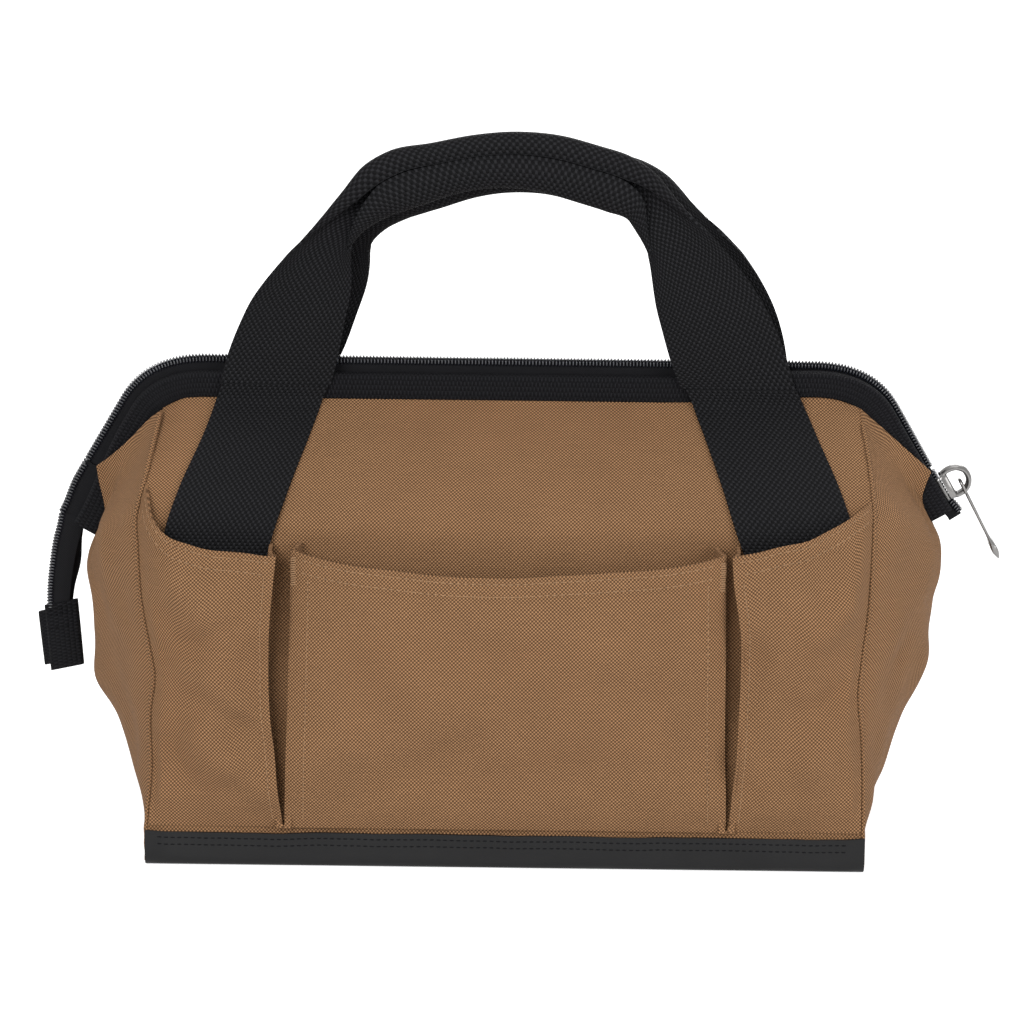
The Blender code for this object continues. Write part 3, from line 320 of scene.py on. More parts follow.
def bead_parts(centres, along, out, size, dip=0.0):
    """Small rounded bars, one at each centre: size is along, across and out."""
    rows, around = 5, 6
    stations = np.array((-0.5, -0.38, 0.0, 0.38, 0.5))
    girth = np.array((0.5, 0.92, 1.0, 0.92, 0.5))[:, None]
    turns = np.arange(around) * math.pi / 3 + math.pi / 6
    far = (stations * size[0])[:, None] + 0 * turns
    wide = girth * np.cos(turns) * size[1] / 2
    high = girth * np.sin(turns) * size[2] / 2 - dip * (2 * stations[:, None]) ** 2
    verts = centres[:, None, None]
    for way, reach in ((along, far), (np.cross(along, out), wide), (out, high)):
        verts = verts + way[:, None, None] * reach[None, ..., None]
    starts = (np.arange(len(centres)) * rows * around)[:, None, None]
    quads = (grid_faces(rows, around, 0, loop=True)[None] + starts).reshape(-1, 4).tolist()
    caps = np.array([np.arange(around)[::-1], np.arange(around) + (rows - 1) * around])
    caps = (caps[None] + starts).reshape(-1, around).tolist()
    verts = verts.reshape(-1, 3)
    uv = points_of(verts[:, 0] + verts[:, 1], verts[:, 2])
    return verts, quads + caps, uv


def stitch_parts(line, out, pitch=3.3, length=2.4, thick=0.62):
    """A row of stitches along a line, on the side that out points to."""
    line = np.asarray(line, float)
    run = lengths(line)
    at = (np.arange(int(run[-1] / pitch)) + 0.5) * pitch
    ahead = unit(read(line, run, at + length / 2) - read(line, run, at - length / 2))
    away = np.tile(np.array(out, float), (len(at), 1))
    away = unit(away - ahead * (away * ahead).sum(axis=1, keepdims=True))
    size = (length, thick, thick * 0.8)
    return bead_parts(read(line, run, at) + away * thick * 0.22, ahead, away, size, 0.3)


def below_top(grid, drop):
    """The line that lies a distance below a grid's top row, following it."""
    run = lengths(grid)
    return np.array([
        read(grid[:, j], run[:, j], run[-1, j] - drop) for j in range(grid.shape[1])
    ])


def sewn(name, parts, material, body, slot):
    piece(name, parts, material, slot, body, sharp=70)


def tube_parts(line, radius, around=8, closed=False, wide=None, beside=None):
    """A round bar along a line; wide is its half width across the direction beside it."""
    line = np.asarray(line, float)
    rows = len(line)
    ahead = np.roll(line, -1, 0) - np.roll(line, 1, 0) if closed else np.gradient(line, axis=0)
    ahead = unit(ahead)
    if beside is None:
        beside = np.cross(ahead, (0.0, 1.0, 0.0))
    beside = unit(np.broadcast_to(beside, (rows, 3)))
    turns = np.arange(around) * 2 * math.pi / around
    rings = line[:, None]
    for reach, way, share in (
        (radius, beside, np.cos(turns)),
        (radius if wide is None else wide, np.cross(beside, ahead), np.sin(turns)),
    ):
        reach = np.broadcast_to(reach, rows)[:, None, None]
        rings = rings + reach * way[:, None] * share[None, :, None]
    if not closed:
        return sweep_parts(rings)
    faces = grid_faces(rows + 1, around, 0, loop=True) % (rows * around)
    uv = points_of(np.tile(turns * 2, rows), np.repeat(np.arange(rows) * 1.0, around))
    return rings.reshape(-1, 3), faces.tolist(), uv


# ---- materials ----


def fill(tree, node, inputs):
    """Sets or links inputs of a node, by name or number."""
    for key, value in inputs.items():
        if isinstance(value, bpy.types.NodeSocket):
            tree.links.new(value, node.inputs[key])
        else:
            node.inputs[key].default_value = value


def add_node(tree, kind, inputs, output=0, **settings):
    node = tree.nodes.new("ShaderNode" + kind)
    for key, value in settings.items():
        setattr(node, key, value)
    fill(tree, node, inputs)
    return node.outputs[output]


def new_material(name):
    material = bpy.data.materials.new(name)
    material.use_nodes = True
    return material, material.node_tree, material.node_tree.nodes["Principled BSDF"]


def math_node(tree, kind, *values):
    return add_node(tree, "Math", dict(enumerate(values)), operation=kind)


def ramp(tree, value, stops):
    node = tree.nodes.new("ShaderNodeValToRGB")
    while len(node.color_ramp.elements) < len(stops):
        node.color_ramp.elements.new(0.5)
    for element, (place, colour) in zip(node.color_ramp.elements, stops):
        element.position = place
        element.color = (*colour, 1)
    tree.links.new(value, node.inputs[0])
    return node.outputs[0]


def noise(tree, vector, scale, detail=2.0, stretch=None):
    if stretch:
        vector = add_node(tree, "Mapping", {"Scale": stretch, 0: vector})
    return add_node(tree, "TexNoise", {"Scale": scale, "Detail": detail, "Vector": vector})


def bump(tree, height, distance, strength=1.0, **below):
    return add_node(
        tree, "Bump", {"Strength": strength, "Distance": distance, "Height": height, **below}
    )


WANDER = 1.2
VARY = 0.15
# the weave's colour scales with thread height: painted shade in the hollows, painted light on the
# crowns
HOLLOW_SHADE, CROWN_LIGHT = 0.72, 0.35


def woven(name, pitch, light, dark, roughness, depth, mottle=0.12, turned=1.0, gloss=0.25):
    """A plain weave: a checker of warp and weft threads, each standing up in its middle, with
    painted shade in the hollows between threads and painted light on their crowns.
    """
    material, tree, shader = new_material(name)
    uv = add_node(tree, "UVMap", {}, uv_map="UVMap")
    split = tree.nodes.new("ShaderNodeSeparateXYZ")
    tree.links.new(uv, split.inputs[0])

    def calc(*values):
        return math_node(tree, *values)

    wander = noise(tree, uv, 0.25, 2.0)
    u = calc("MULTIPLY", split.outputs[0], math.pi / pitch)
    v = calc("MULTIPLY", split.outputs[1], math.pi / (pitch * turned))
    u = calc("MULTIPLY_ADD", wander, WANDER, u)
    v = calc("MULTIPLY_ADD", wander, -WANDER, v)
    cell = calc("MULTIPLY", calc("SINE", u), calc("SINE", v))
    height = calc("POWER", calc("ABSOLUTE", cell), 0.6)
    over = calc("MULTIPLY_ADD", cell, 0.5, 0.5)
    threads = noise(tree, uv, 0.9, 1.0, (0.06, 1.4, 1.0))
    patches = noise(tree, uv, 0.035, 3.0)
    colour = ramp(tree, over, [(0.25, dark), (0.75, light)])
    tone = calc("ADD", calc("MULTIPLY", threads, 0.5), calc("MULTIPLY", patches, 0.5))
    tone = calc("MULTIPLY_ADD", calc("SUBTRACT", tone, 0.5), 2 * mottle, 1.0)
    # painted shade and light: the threads' random tone, darkened in the hollows between threads and
    # lightened on their crowns
    level = calc("MULTIPLY", tone, calc("MULTIPLY_ADD", height, CROWN_LIGHT, HOLLOW_SHADE))
    tone_and_shade = add_node(tree, "CombineColor", {0: level, 1: level, 2: level})
    uneven = bump(tree, noise(tree, uv, 0.12, 3.0), 0.0006, 0.35)
    fill(tree, shader, {
        "Base Color": add_node(
            tree, "Mix", {0: 1.0, 6: colour, 7: tone_and_shade}, 2, data_type="RGBA", blend_type="MULTIPLY"
        ),
        "Roughness": roughness,
        "Specular IOR Level": gloss,
        "Normal": bump(tree, height, depth * MM, 0.9, Normal=uneven),
    })
    return material


def smooth_material(name, colour, roughness, grain_scale, grain, metallic=0.0, gloss=0.4):
    """A dense surface with fine grain and patches of roughness."""
    material, tree, shader = new_material(name)
    place = tree.nodes.new("ShaderNodeTexCoord").outputs["Object"]
    fine = noise(tree, place, grain_scale, 3.0)
    wide = noise(tree, place, 40.0, 3.0)
    low, high = (tuple(c * (1 + part) for c in colour) for part in (-VARY, VARY))
    patchy = math_node(tree, "SUBTRACT", wide, 0.5)
    fill(tree, shader, {
        "Base Color": ramp(tree, wide, [(0.3, low), (0.7, high)]),
        "Roughness": math_node(tree, "MULTIPLY_ADD", patchy, 0.3, roughness),
        "Metallic": metallic,
        "Specular IOR Level": gloss,
        "Normal": bump(tree, fine, grain * MM, 0.6),
    })
    return material


CANVAS = woven("canvas", 0.82, (0.39, 0.210, 0.101), (0.078, 0.038, 0.016), 0.9, 0.2, mottle=0.2)
# black webbing: the light colour of its checker is painted highlight on the raised dots of black
# thread
STRAP = woven("webbing", 1.25, (0.017, 0.017, 0.019), (0.0015, 0.0015, 0.002), 0.75, 0.5,
              mottle=0.2, turned=1.2, gloss=0.12)
# black binding: the light colour of its checker is painted highlight on the raised ribs of black
# thread
BAND = woven("binding_webbing", 2.4, (0.011, 0.011, 0.013), (0.002, 0.002, 0.003), 0.72, 0.45,
             mottle=0.2, turned=0.36, gloss=0.12)
TAPE = woven("zip_tape_cloth", 0.5, (0.013, 0.013, 0.015), (0.007, 0.007, 0.008), 0.8, 0.08,
             gloss=0.1)
COATED = smooth_material("coated_base", (0.0075, 0.0075, 0.008), 0.52, 1400.0, 0.12, gloss=0.2)
TEETH = smooth_material("zip_coil", (0.008, 0.009, 0.014), 0.22, 900.0, 0.02, gloss=0.7)
NICKEL = smooth_material("nickel", (0.21, 0.205, 0.20), 0.26, 700.0, 0.03, metallic=1.0)
STEEL = smooth_material("steel_rod", (0.36, 0.36, 0.37), 0.38, 500.0, 0.05, metallic=1.0)
BOARD = smooth_material("stiff_board", (0.035, 0.033, 0.031), 0.7, 350.0, 0.2)
THREAD = smooth_material("brown_thread", (0.27, 0.155, 0.078), 0.75, 2500.0, 0.08)
BLACK_THREAD = smooth_material("black_thread", (0.006, 0.006, 0.007), 0.8, 2500.0, 0.08,
                               gloss=0.1)


# ---- cloth ----

FOLD_GAIN = 2.0
# Soft folds of the panels: X, Z, angle, length, width and height
PANEL_FOLDS = {
    FRONT: ((-30, 172, 20, 60, 9, 0.8), (60, 165, -25, 50, 8, 0.7), (0, 158, 0, 90, 6, -0.6)),
    REAR: ((30, 172, -15, 60, 9, 0.8), (-60, 165, 25, 50, 8, 0.7), (0, 157, 0, 90, 6, -0.6)),
}
CANVAS_TOP = 193.5
SEAM_TOP = 188.0
TOP_EDGE = 194.0
RIGHT_RISE = 4.5
CORNER_FALL = 6.5
PANEL_BOW = 1.6
PANEL_PROUD = 0.25


def bell(x):
    return np.exp(-(x**2))


def crease(x, z, folds):
    """Height of soft folds at places in X and Z."""
    total = np.zeros_like(x)
    for cx, cz, angle, length, width, height in folds:
        c, s = math.cos(math.radians(angle)), math.sin(math.radians(angle))
        along = ((x - cx) * c + (z - cz) * s) / length
        across = (-(x - cx) * s + (z - cz) * c) / width
        total += FOLD_GAIN * height * bell(along) * bell(across)
    return total


def top_edge(x):
    """Height at which the canvas ends under the binding, higher at the right."""
    rise = RIGHT_RISE * ease((x - 70) / 50)
    return TOP_EDGE + rise - CORNER_FALL * ease((np.abs(x) - 147) / 17)


def panel_grid(side, rows=96, cols=120):
    z = np.linspace(1, CANVAS_TOP, 400)
    line = resample(points_of(wall(z), z), rows)
    shares = np.linspace(0, 1, cols)
    grid = np.zeros((rows, cols, 3))
    for i, (y, z) in enumerate(line):
        x = mix(-SEAMS[LEFT](min(z, SEAM_TOP)), SEAMS[RIGHT](min(z, SEAM_TOP)), shares)
        high = np.clip((z - PIVOT_HEIGHT) / (CANVAS_TOP - PIVOT_HEIGHT), 0, 1)
        zs = z + (top_edge(x) - CANVAS_TOP) * high**2
        bow = PANEL_BOW * math.sin(math.pi * min(z / 150, 1)) * (1 - (2 * shares - 1) ** 2)
        calm = np.clip((1 - np.abs(2 * shares - 1)) * 6, 0, 1)
        calm = calm * np.clip((CANVAS_TOP - z) / 12, 0, 1)
        swell = crease(x, zs, PANEL_FOLDS[side]) + ripple(x, zs, 3 + side, 0.8) * calm
        y = np.minimum(y - bow + swell, wall(zs) + PANEL_PROUD)
        grid[i] = points_of(x, side * y, zs)
    return grid


def build_panel(side, word):
    cloth(f"{word}_cloth", panel_grid(side), CLOTH, (0, side, 0.3), CANVAS, "brown_canvas",
          bent(word), f"{word}_panel", f"{word}_upper_panel")
    # the seams with the gussets stand up as a thin welt
    z = np.linspace(1.5, 186.0, 130)
    parts = []
    for hand, _ in HANDS:
        line = points_of(hand * (SEAMS[hand](z) + 0.2), side * (wall(z) - 0.5), z)
        parts.append(tube_parts(line, 1.05 + 0.12 * np.sin(z * 0.9)))
    piece(f"{word}_seam_welts", parts, CANVAS, "brown_canvas", bent(word), sharp=80)


# Folds of the gussets: height, share of the way to the seam, spread, length up and height
GUSSET_FOLDS = {
    LEFT: ((60, 0.3, 0.16, 12, 3.2), (95, 0.55, 0.12, 14, -2.2), (128, 0.72, 0.1, 16, 1.8),
           (40, 0.78, 0.1, 20, -1.5), (132, 0.35, 0.12, 12, -2.2), (148, 0.45, 0.1, 9, 1.6)),
    RIGHT: ((70, 0.35, 0.14, 16, 2.4), (88, 0.7, 0.09, 10, -2.6), (118, 0.5, 0.12, 14, 1.6),
            (42, 0.6, 0.12, 16, -1.6), (140, 0.4, 0.1, 12, -2), (150, 0.25, 0.08, 9, 1.4)),
}
GUSSET_TOP = {LEFT: 188.0, RIGHT: 191.5}


def gusset_grid(side, hand, rows=90, cols=56):
    z = np.linspace(0.5, GUSSET_TOP[hand], 400)
    seam = resample(points_of(SEAMS[hand](z), wall(z) - 0.2, z), rows)
    fold = FOLDS[hand]
    z = np.linspace(fold[0][0], fold[-1][0], 400)
    middle = resample(points_of(table(fold)(z), table(fold, 2)(z), z), rows)
    v = np.linspace(0, 1, rows)[:, None]
    t = np.linspace(0, 1, cols)[None, :]
    round_share = np.cos(math.pi / 2 * t) ** 0.78
    share = mix(round_share, 1 - t, ease((v - 0.70) / 0.3))
    x = seam[:, :1] + (middle[:, :1] - seam[:, :1]) * share
    y = mix(middle[:, 1:2], seam[:, 1:2], t + 0 * v)
    zz = mix(middle[:, 2:3], seam[:, 2:3], t + 0 * v)
    push = np.zeros_like(x)
    for fold_z, place, spread, tall, height in GUSSET_FOLDS[hand]:
        push += height * bell((zz - fold_z) / tall) * bell((t - place) / spread)
    fade = np.clip(t * 8, 0, 1) * np.clip((1 - t) * 8, 0, 1) * np.clip(v * 8, 0, 1)
    push = push + ripple(y, zz, 11 + hand, 0.9, 60.0, 18.0)
    x = x + push * fade
    y = y + push * fade * 0.4
    return points_of(hand * x, side * y, zz)


def build_gussets(side, word):
    for hand, hand_word in HANDS:
        nodes = [f"{hand_word}_gusset"] if side == FRONT else []
        cloth(f"{word}_{hand_word}_gusset_cloth", gusset_grid(side, hand), CLOTH,
              (hand, side * 0.4, 0), CANVAS, "brown_canvas", bent(word), *nodes)


# Pocket outlines: the centre's top as X and height, the sides' as share inwards and height,
# and the edges as height and X
CENTRE_TOP = ((-97, 143.2), (-63, 138.2), (-30, 135.3), (0, 134.6), (23, 135.2), (58, 138.2),
              (97, 143.2))
CENTRE_EDGE = ((16, 99.6), (80, 97.6), (144, 96.2))
SIDE_TOP = {
    LEFT: ((0, 163.8), (0.1, 155.5), (0.22, 149.8), (0.4, 146), (0.7, 143.6), (1, 142.2)),
    RIGHT: ((0, 160.5), (0.12, 158.6), (0.3, 154.6), (0.55, 149.8), (0.8, 145.8), (1, 143.4)),
}
SIDE_EDGE = {
    LEFT: ((16, 99.9), (49, 103.2), (86, 106.2), (108, 105.6), (136, 103), (146, 102)),
    RIGHT: ((16, 100.4), (47, 102.4), (86, 104.2), (110, 103.2), (134, 99.6), (146, 98.8)),
}
POCKET_FOOT = 17.6
POCKET_DEPTH = 17.0
SIDE_DEPTH = 15.0
STRAP_CLEARANCE = 4.8
STRAP_LIFT = 3.0
CENTRE_REACH = 97.0
CENTRE_FOLDS = ((-60, 60, 15, 60, 16, 1), (40, 105, -12, 70, 12, 0.9), (10, 45, 4, 80, 10, -0.7),
                (-40, 118, 8, 50, 7, -0.5), (70, 75, 60, 40, 10, 0.6))
HEM = 9.6
HEM_RISE = 0.45
HEM_ROWS = (2.8, 8.4)
DIMPLE = 0.28
DIMPLE_REACH = 0.8
# How an edge turns back to the panel: distances inwards and down
CENTRE_TURNS = ((-0.1, 0.5), (0.4, 1.6), (1.4, 2.6), (2.6, 7), (3.2, 15))
SIDE_TURNS = ((0, 0.6), (-0.5, 1.8), (-1.6, 2.8), (-2.6, 7), (-2.8, 16))
TACKS = 13


def pocket_swell(share):
    """How far a pocket stands off, from its foot to its top."""
    return (0.35 + 0.65 * ease(share)) * np.tanh(share * 9)


def hemmed(grid, facing):
    """Raises a pocket's hem a layer proud of its cloth, with dimples along the stitches."""
    normal, _ = normals_of(grid, facing)
    run = lengths(grid)
    drop = run[-1:] - run
    rise = HEM_RISE * (1 - ease((drop - HEM) / DIMPLE_REACH))
    for row in HEM_ROWS:
        rise = rise - DIMPLE * bell((drop - row) / DIMPLE_REACH)
    return grid + normal * rise[..., None]


def turned_back(line, side, outwards, turns, stand):
    """A pocket's side edge, turned back until it stands on the panel."""
    columns = []
    for inward, depth in turns:
        column = line.copy()
        column[:, 0] -= outwards * inward
        off = np.maximum(np.abs(line[:, 1]) - depth, wall(line[:, 2]) + stand)
        column[:, 1] = side * off
        columns.append(column)
    return np.stack(columns, axis=1)


def centre_grid(side, rows=130, cols=120):
    share_z = np.linspace(0, 1, rows)[:, None]
    u = np.linspace(-1, 1, cols)[None, :]
    z = mix(POCKET_FOOT, table(CENTRE_TOP)(u * CENTRE_REACH), share_z)
    x = u * table(CENTRE_EDGE)(z)
    side_fall = 1 - 0.42 * np.abs(u) ** 10
    off = POCKET_DEPTH * pocket_swell(share_z) * side_fall
    fold = crease(x * (-side), z, CENTRE_FOLDS) + ripple(x, z, 21 + side, 1.5, 110.0, 22.0)
    y = wall(z) + 1.6 + off + fold * np.clip(share_z * 6, 0, 1)
    return points_of(x, side * y, z)


def build_centre_pocket(side, word):
    grid = hemmed(centre_grid(side), (0, side, 0))
    parts = [stitch_parts(below_top(grid, row)[3:-3], (0.0, side, 0.15)) for row in HEM_ROWS]
    for seam, corner in ((5, 1), (-6, -2)):
        parts.append(stitch_parts(grid[4:-9, seam], (0.0, side, 0.1)))
        # a bar of thread holds each top corner
        tack = resample(grid[-16:-3, corner] + np.array((0.0, side * 0.4, 0.0)), TACKS)
        ways = np.tile(unit(np.array((1.0, 0.0, 0.12))), (TACKS, 1))
        outs = np.tile((0.0, float(side), 0.0), (TACKS, 1))
        parts.append(bead_parts(tack, ways, outs, (2.6, 0.75, 0.6), 0.1))
    sewn(f"{word}_centre_pocket_stitches", parts, THREAD, "bag", "brown_canvas")
    left = turned_back(grid[:, 0], side, LEFT, CENTRE_TURNS, 1.8)[:, ::-1]
    right = turned_back(grid[:, -1], side, RIGHT, CENTRE_TURNS, 1.8)
    full = np.concatenate([left, grid, right], axis=1)
    cloth(f"{word}_centre_pocket_cloth", full, POCKET_CLOTH, (0, side, 0), CANVAS,
          "brown_canvas", "bag", f"{word}_centre_pocket")


SIDE_FOLDS = {
    LEFT: ((-140, 120, -62, 40, 9, 1.5), (-130, 85, -35, 36, 7, 1.6), (-148, 60, 70, 30, 7, -1.3),
           (-120, 45, -50, 34, 8, 1.1), (-150, 98, 30, 18, 6, -1.6), (-116, 120, 85, 40, 7, -0.9)),
    RIGHT: ((135, 110, 40, 40, 9, 1.3), (120, 70, 75, 36, 8, -1.1), (148, 80, 20, 20, 7, -1.7),
            (130, 48, 35, 34, 8, 1), (112, 110, 85, 40, 7, -0.9), (150, 122, 60, 24, 7, 0.9)),
}


def side_grid(side, hand, rows=130, cols=72):
    share_z = np.linspace(0, 1, rows)[:, None]
    t = np.linspace(0, 1, cols)[None, :]
    z = mix(POCKET_FOOT, table(SIDE_TOP[hand])(t), share_z)
    x = mix(SEAMS[hand](z) - 1.0, table(SIDE_EDGE[hand])(z), t)
    rise = np.sin(math.pi / 2 * np.clip(t / 0.55, 0, 1)) ** 0.9
    off = SIDE_DEPTH * pocket_swell(share_z) * rise * (1 - 0.12 * t**3)
    # the strap's end lies under the pocket
    off = off + STRAP_LIFT * ease(t / 0.09) * ease(share_z * 8) * (1 - 0.5 * t)
    fade = np.clip(share_z * 6, 0, 1) * np.clip(t * 8, 0, 1)
    fold = crease(hand * x, z, SIDE_FOLDS[hand])
    fold = fold + ripple(x, z, 31 + 2 * side + hand, 2.2, 70.0, 18.0)
    clear = STRAP_CLEARANCE * ease((t - 0.02) / 0.06) * ease(share_z * 8)
    y = wall(z) + 0.9 + np.maximum(off + fold * fade, clear)
    return points_of(hand * x, side * y, z)


def build_side_pockets(side, word):
    for hand, hand_word in HANDS:
        name = f"{word}_{hand_word}_pocket"
        facing = (hand * 0.2, side, 0)
        grid = hemmed(side_grid(side, hand), facing)
        parts = [stitch_parts(below_top(grid, row)[2:-2], (0.0, side, 0.15)) for row in HEM_ROWS]
        parts.append(stitch_parts(grid[4:-9, -6], (0.0, side, 0.1)))
        sewn(f"{name}_stitches", parts, THREAD, "bag", "brown_canvas")
        # the pleat turns back to the panel behind the centre pocket's edge
        pleat = turned_back(grid[:, -1], side, hand, SIDE_TURNS, 1.6)
        full = np.concatenate([grid, pleat], axis=1)
        cloth(f"{name}_cloth", full, POCKET_CLOTH, facing, CANVAS, "brown_canvas", "bag", name)


# ---- webbing ----

# Edges of each strap where it lies on the panel: height, inner X and outer X
STRAP_EDGES = {
    LEFT: ((44, 106.5, 153), (118, 107.5, 153.5), (132, 108, 154.5), (149, 104.5, 153),
           (162, 99.8, 148.6), (183, 90.5, 138.6), (200, 83.5, 132.5)),
    RIGHT: ((44, 106.5, 153), (118, 107.5, 153.5), (132, 107.5, 154.5), (149, 101.8, 154.2),
            (162, 97.3, 150), (183, 88.5, 139.8), (200, 80.5, 131.5)),
}
STRAP_FOOT = 44.0
STRAP_TOP = 200.0


def strap_grid(side, hand, cols=21):
    edges = STRAP_EDGES[hand]
    low = np.linspace(STRAP_FOOT, 188.5, 200)
    path = [(float(wall(z)) + 0.4 + WEBBING, z) for z in low]
    path = resample(path + [(11.4, 192.0), (11.5, STRAP_TOP)], 80)
    y, z = path[:, :1], path[:, 1:]
    t = np.linspace(0, 1, cols)
    x = mix(table(edges)(z), table(edges, 2)(z), t)
    crown = 0.25 * (1 - (2 * t - 1) ** 2)
    return points_of(hand * x, side * (y + crown), z)


def build_straps(side, word):
    for hand, hand_word in HANDS:
        grid = strap_grid(side, hand)
        cols = grid.shape[1]
        uv = uv_grid(np.linspace(0, WEBBING_WIDTH, cols), lengths(grid)[:, cols // 2])
        cloth(f"{word}_{hand_word}_webbing", grid, WEBBING, (0, side, 0.3), STRAP, "black_webbing",
              bent(word), f"{word}_{hand_word}_strap", f"{word}_{hand_word}_strap_end", uv=uv)


# Handle stations, left to right: outer edge X and Z, inner edge X and Z, share folded into a grip
HANDLE = (
    (-133, 200, -82.5, 200, 0), (-129.9, 212, -79.4, 211.6, 0),
    (-124, 228, -75.6, 228, 0.02), (-116.5, 243, -71, 247, 0.06),
    (-104.5, 259, -68.8, 263, 0.2), (-90.5, 274.5, -63.8, 271.6, 0.5),
    (-78, 288.5, -55.5, 277.6, 0.85), (-66.5, 301.5, -47.5, 281.2, 1),
    (-56, 307.8, -40, 283.8, 1), (-36, 312, -24, 289.2, 1),
    (-17, 315.8, -10, 291.6, 1), (2, 317.4, 5, 291.4, 1),
    (20.6, 316, 18.5, 288.6, 1), (38, 311.6, 31, 285, 1),
    (52.5, 307, 42, 281.6, 1), (63.5, 300.5, 50.2, 278.2, 0.85),
    (76, 288, 53, 271.6, 0.5), (90.5, 273.6, 58.8, 257.5, 0.2),
    (103, 258, 63.6, 241.5, 0.06), (115.5, 239, 68.6, 226, 0.02),
    (123.5, 222, 73.6, 211.8, 0), (131, 200, 78.5, 200, 0),
)
HANDLE_FOOT_Y = 10.3
HANDLE_GRIP_Y = 7.4
REAR_SHIFT = 8.0
REAR_DROP = 6.0
REAR_THINNER = 0.8
GRIP_DEPTH = 4.8


def handle_rings(side, count=150, around=40):
    rows = np.array(HANDLE, float)
    middle = points_of((rows[:, 0] + rows[:, 2]) / 2, (rows[:, 1] + rows[:, 3]) / 2)
    run = lengths(middle)
    at = np.linspace(0, run[-1], count)
    outer = spline(run, rows[:, 0:2])(at)
    inner = spline(run, rows[:, 2:4])(at)
    fold = np.clip(spline(run, rows[:, 4])(at), 0, 1)
    q = np.linspace(-1, 1, around)
    thick = WEBBING / 2
    rings = []
    for (ox, oz), (ix, iz), f in zip(outer, inner, fold):
        centre = np.array(((ox + ix) / 2, (oz + iz) / 2))
        across = np.array((ox - ix, oz - iz))
        half = np.linalg.norm(across) / 2
        across /= 2 * half
        lean = np.clip((centre[1] - 200) / (305 - 200), 0, 1)
        shift = REAR_SHIFT * np.clip((centre[1] - 205) / 50, 0, 1) ** 0.8 if side == REAR else 0
        if side == REAR:
            centre[1] -= REAR_DROP * lean
            half -= REAR_THINNER * lean
        y = mix(HANDLE_FOOT_Y, HANDLE_GRIP_Y, lean)
        flat_w, flat_d = q * half, 0.5 * q**2
        # the two edges meet in front, above the grip's middle
        edge = np.abs(q)
        angle = math.pi * q * 0.985
        tube_w = (half - thick) * np.sin(angle) + 0.26 * half * ease((edge - 0.45) / 0.5)
        tube_w = np.clip(tube_w, thick - half, half - thick)
        tube_d = GRIP_DEPTH * np.cos(angle) * (1 - 0.45 * bell((1 - edge) / 0.07))
        line = points_of(mix(flat_w, tube_w, f), mix(flat_d, tube_d, f))
        step = unit(np.gradient(line, axis=0))
        out = points_of(-step[:, 1], step[:, 0])
        loop = np.concatenate([line + out * thick, (line - out * thick)[::-1]])
        # the loop's second column is positive towards the middle plane
        px = centre[0] + shift + across[0] * loop[:, 0]
        pz = centre[1] + across[1] * loop[:, 0]
        py = side * (y - loop[:, 1])
        rings.append(points_of(px, py, pz))
    return np.array(rings), at


def build_handle(side, word):
    rings, at = handle_rings(side)
    half = rings.shape[1] // 2
    verts, faces, _ = sweep_parts(rings)
    across = np.linspace(0, WEBBING_WIDTH, half)
    uv = uv_grid(np.concatenate([across, across[::-1]]), at).reshape(-1, 2)
    body = (f"{word}_mouth", f"{word}_handle_loop", *HANDLE_BEND)
    piece(f"{word}_handle_webbing", [(verts, faces, uv)], STRAP, "black_webbing", body,
          f"{word}_handle", sharp=65)


BINDING_RIGHT_END = 142.0
RIB = 0.012
LEFT_IN, RIGHT_OUT, RIGHT_END_OUT = 4.4, 3.4, 1.2


def band_shift(points):
    """How far further inwards the band lies: in at the mouth's left end, out at its right."""
    x, z = points[:, 0], points[:, 1]
    low = ease((182 - z) / 46)
    return np.where(x < 0, LEFT_IN * low, -RIGHT_OUT * ease((x - 70) / 70) - RIGHT_END_OUT * low)


def build_binding(side, word):
    near, far = BINDING_Y
    top, low = BINDING_IN
    section = [
        (top + 1.6, near + 0.4), (top + 0.5, near + 1.2), (top, near + 2.6), (top, far - 1.6),
        (top + 0.4, far - 0.6), (top + 1.2, far - 0.15), (top + 2.0, far), (top + 3.6, far + 0.1),
        ((top + low) / 2, far + 0.15), (low - 2.6, far + 0.05), (low - 1.0, far),
        (low - 0.3, far - 0.3), (low, far - 0.9), (low - 0.2, far - 1.6), (low - 1.2, near + 4.2),
        (low - 0.4, near + 3.0), (low - 1.0, near + 0.6), (low - 5.0, near),
    ]
    section = [(i, side * y) for i, y in section]
    rings, points = mouth_sweep(section, BINDING_END, 1.6, band_shift, BINDING_RIGHT_END)
    # ribs run across the band
    rings[..., 1] *= 1 + RIB * np.cos(np.arange(len(points)) * math.pi)[:, None]
    verts, faces, _ = sweep_parts(rings)
    uv = uv_grid(lengths(np.array(section)), lengths(points)).reshape(-1, 2)
    piece(f"{word}_binding_webbing", [(verts, faces, uv)], BAND, "black_webbing",
          bent(word, BINDING_BEND), f"{word}_binding")
    lines = []
    for inward in (top + 2.2, low - 2.0):
        place = [(inward, side * (far + 0.1))]
        rings, _ = mouth_sweep(place, BINDING_END + 3, 2.0, band_shift, BINDING_RIGHT_END + 3)
        lines.append(stitch_parts(rings[:, 0], (0.0, side, 0.0), 3.0, 2.0, 0.5))
    sewn(f"{word}_binding_stitches", lines, BLACK_THREAD, bent(word, BINDING_BEND), "black_webbing")


# ---- zip ----

TOOTH_PITCH = 1.55
TOOTH = (3.5, 1.05, 3.7)
TOOTH_IN = 1.9
TOOTH_Y = 1.3
TAPE_WIDE = 12.0


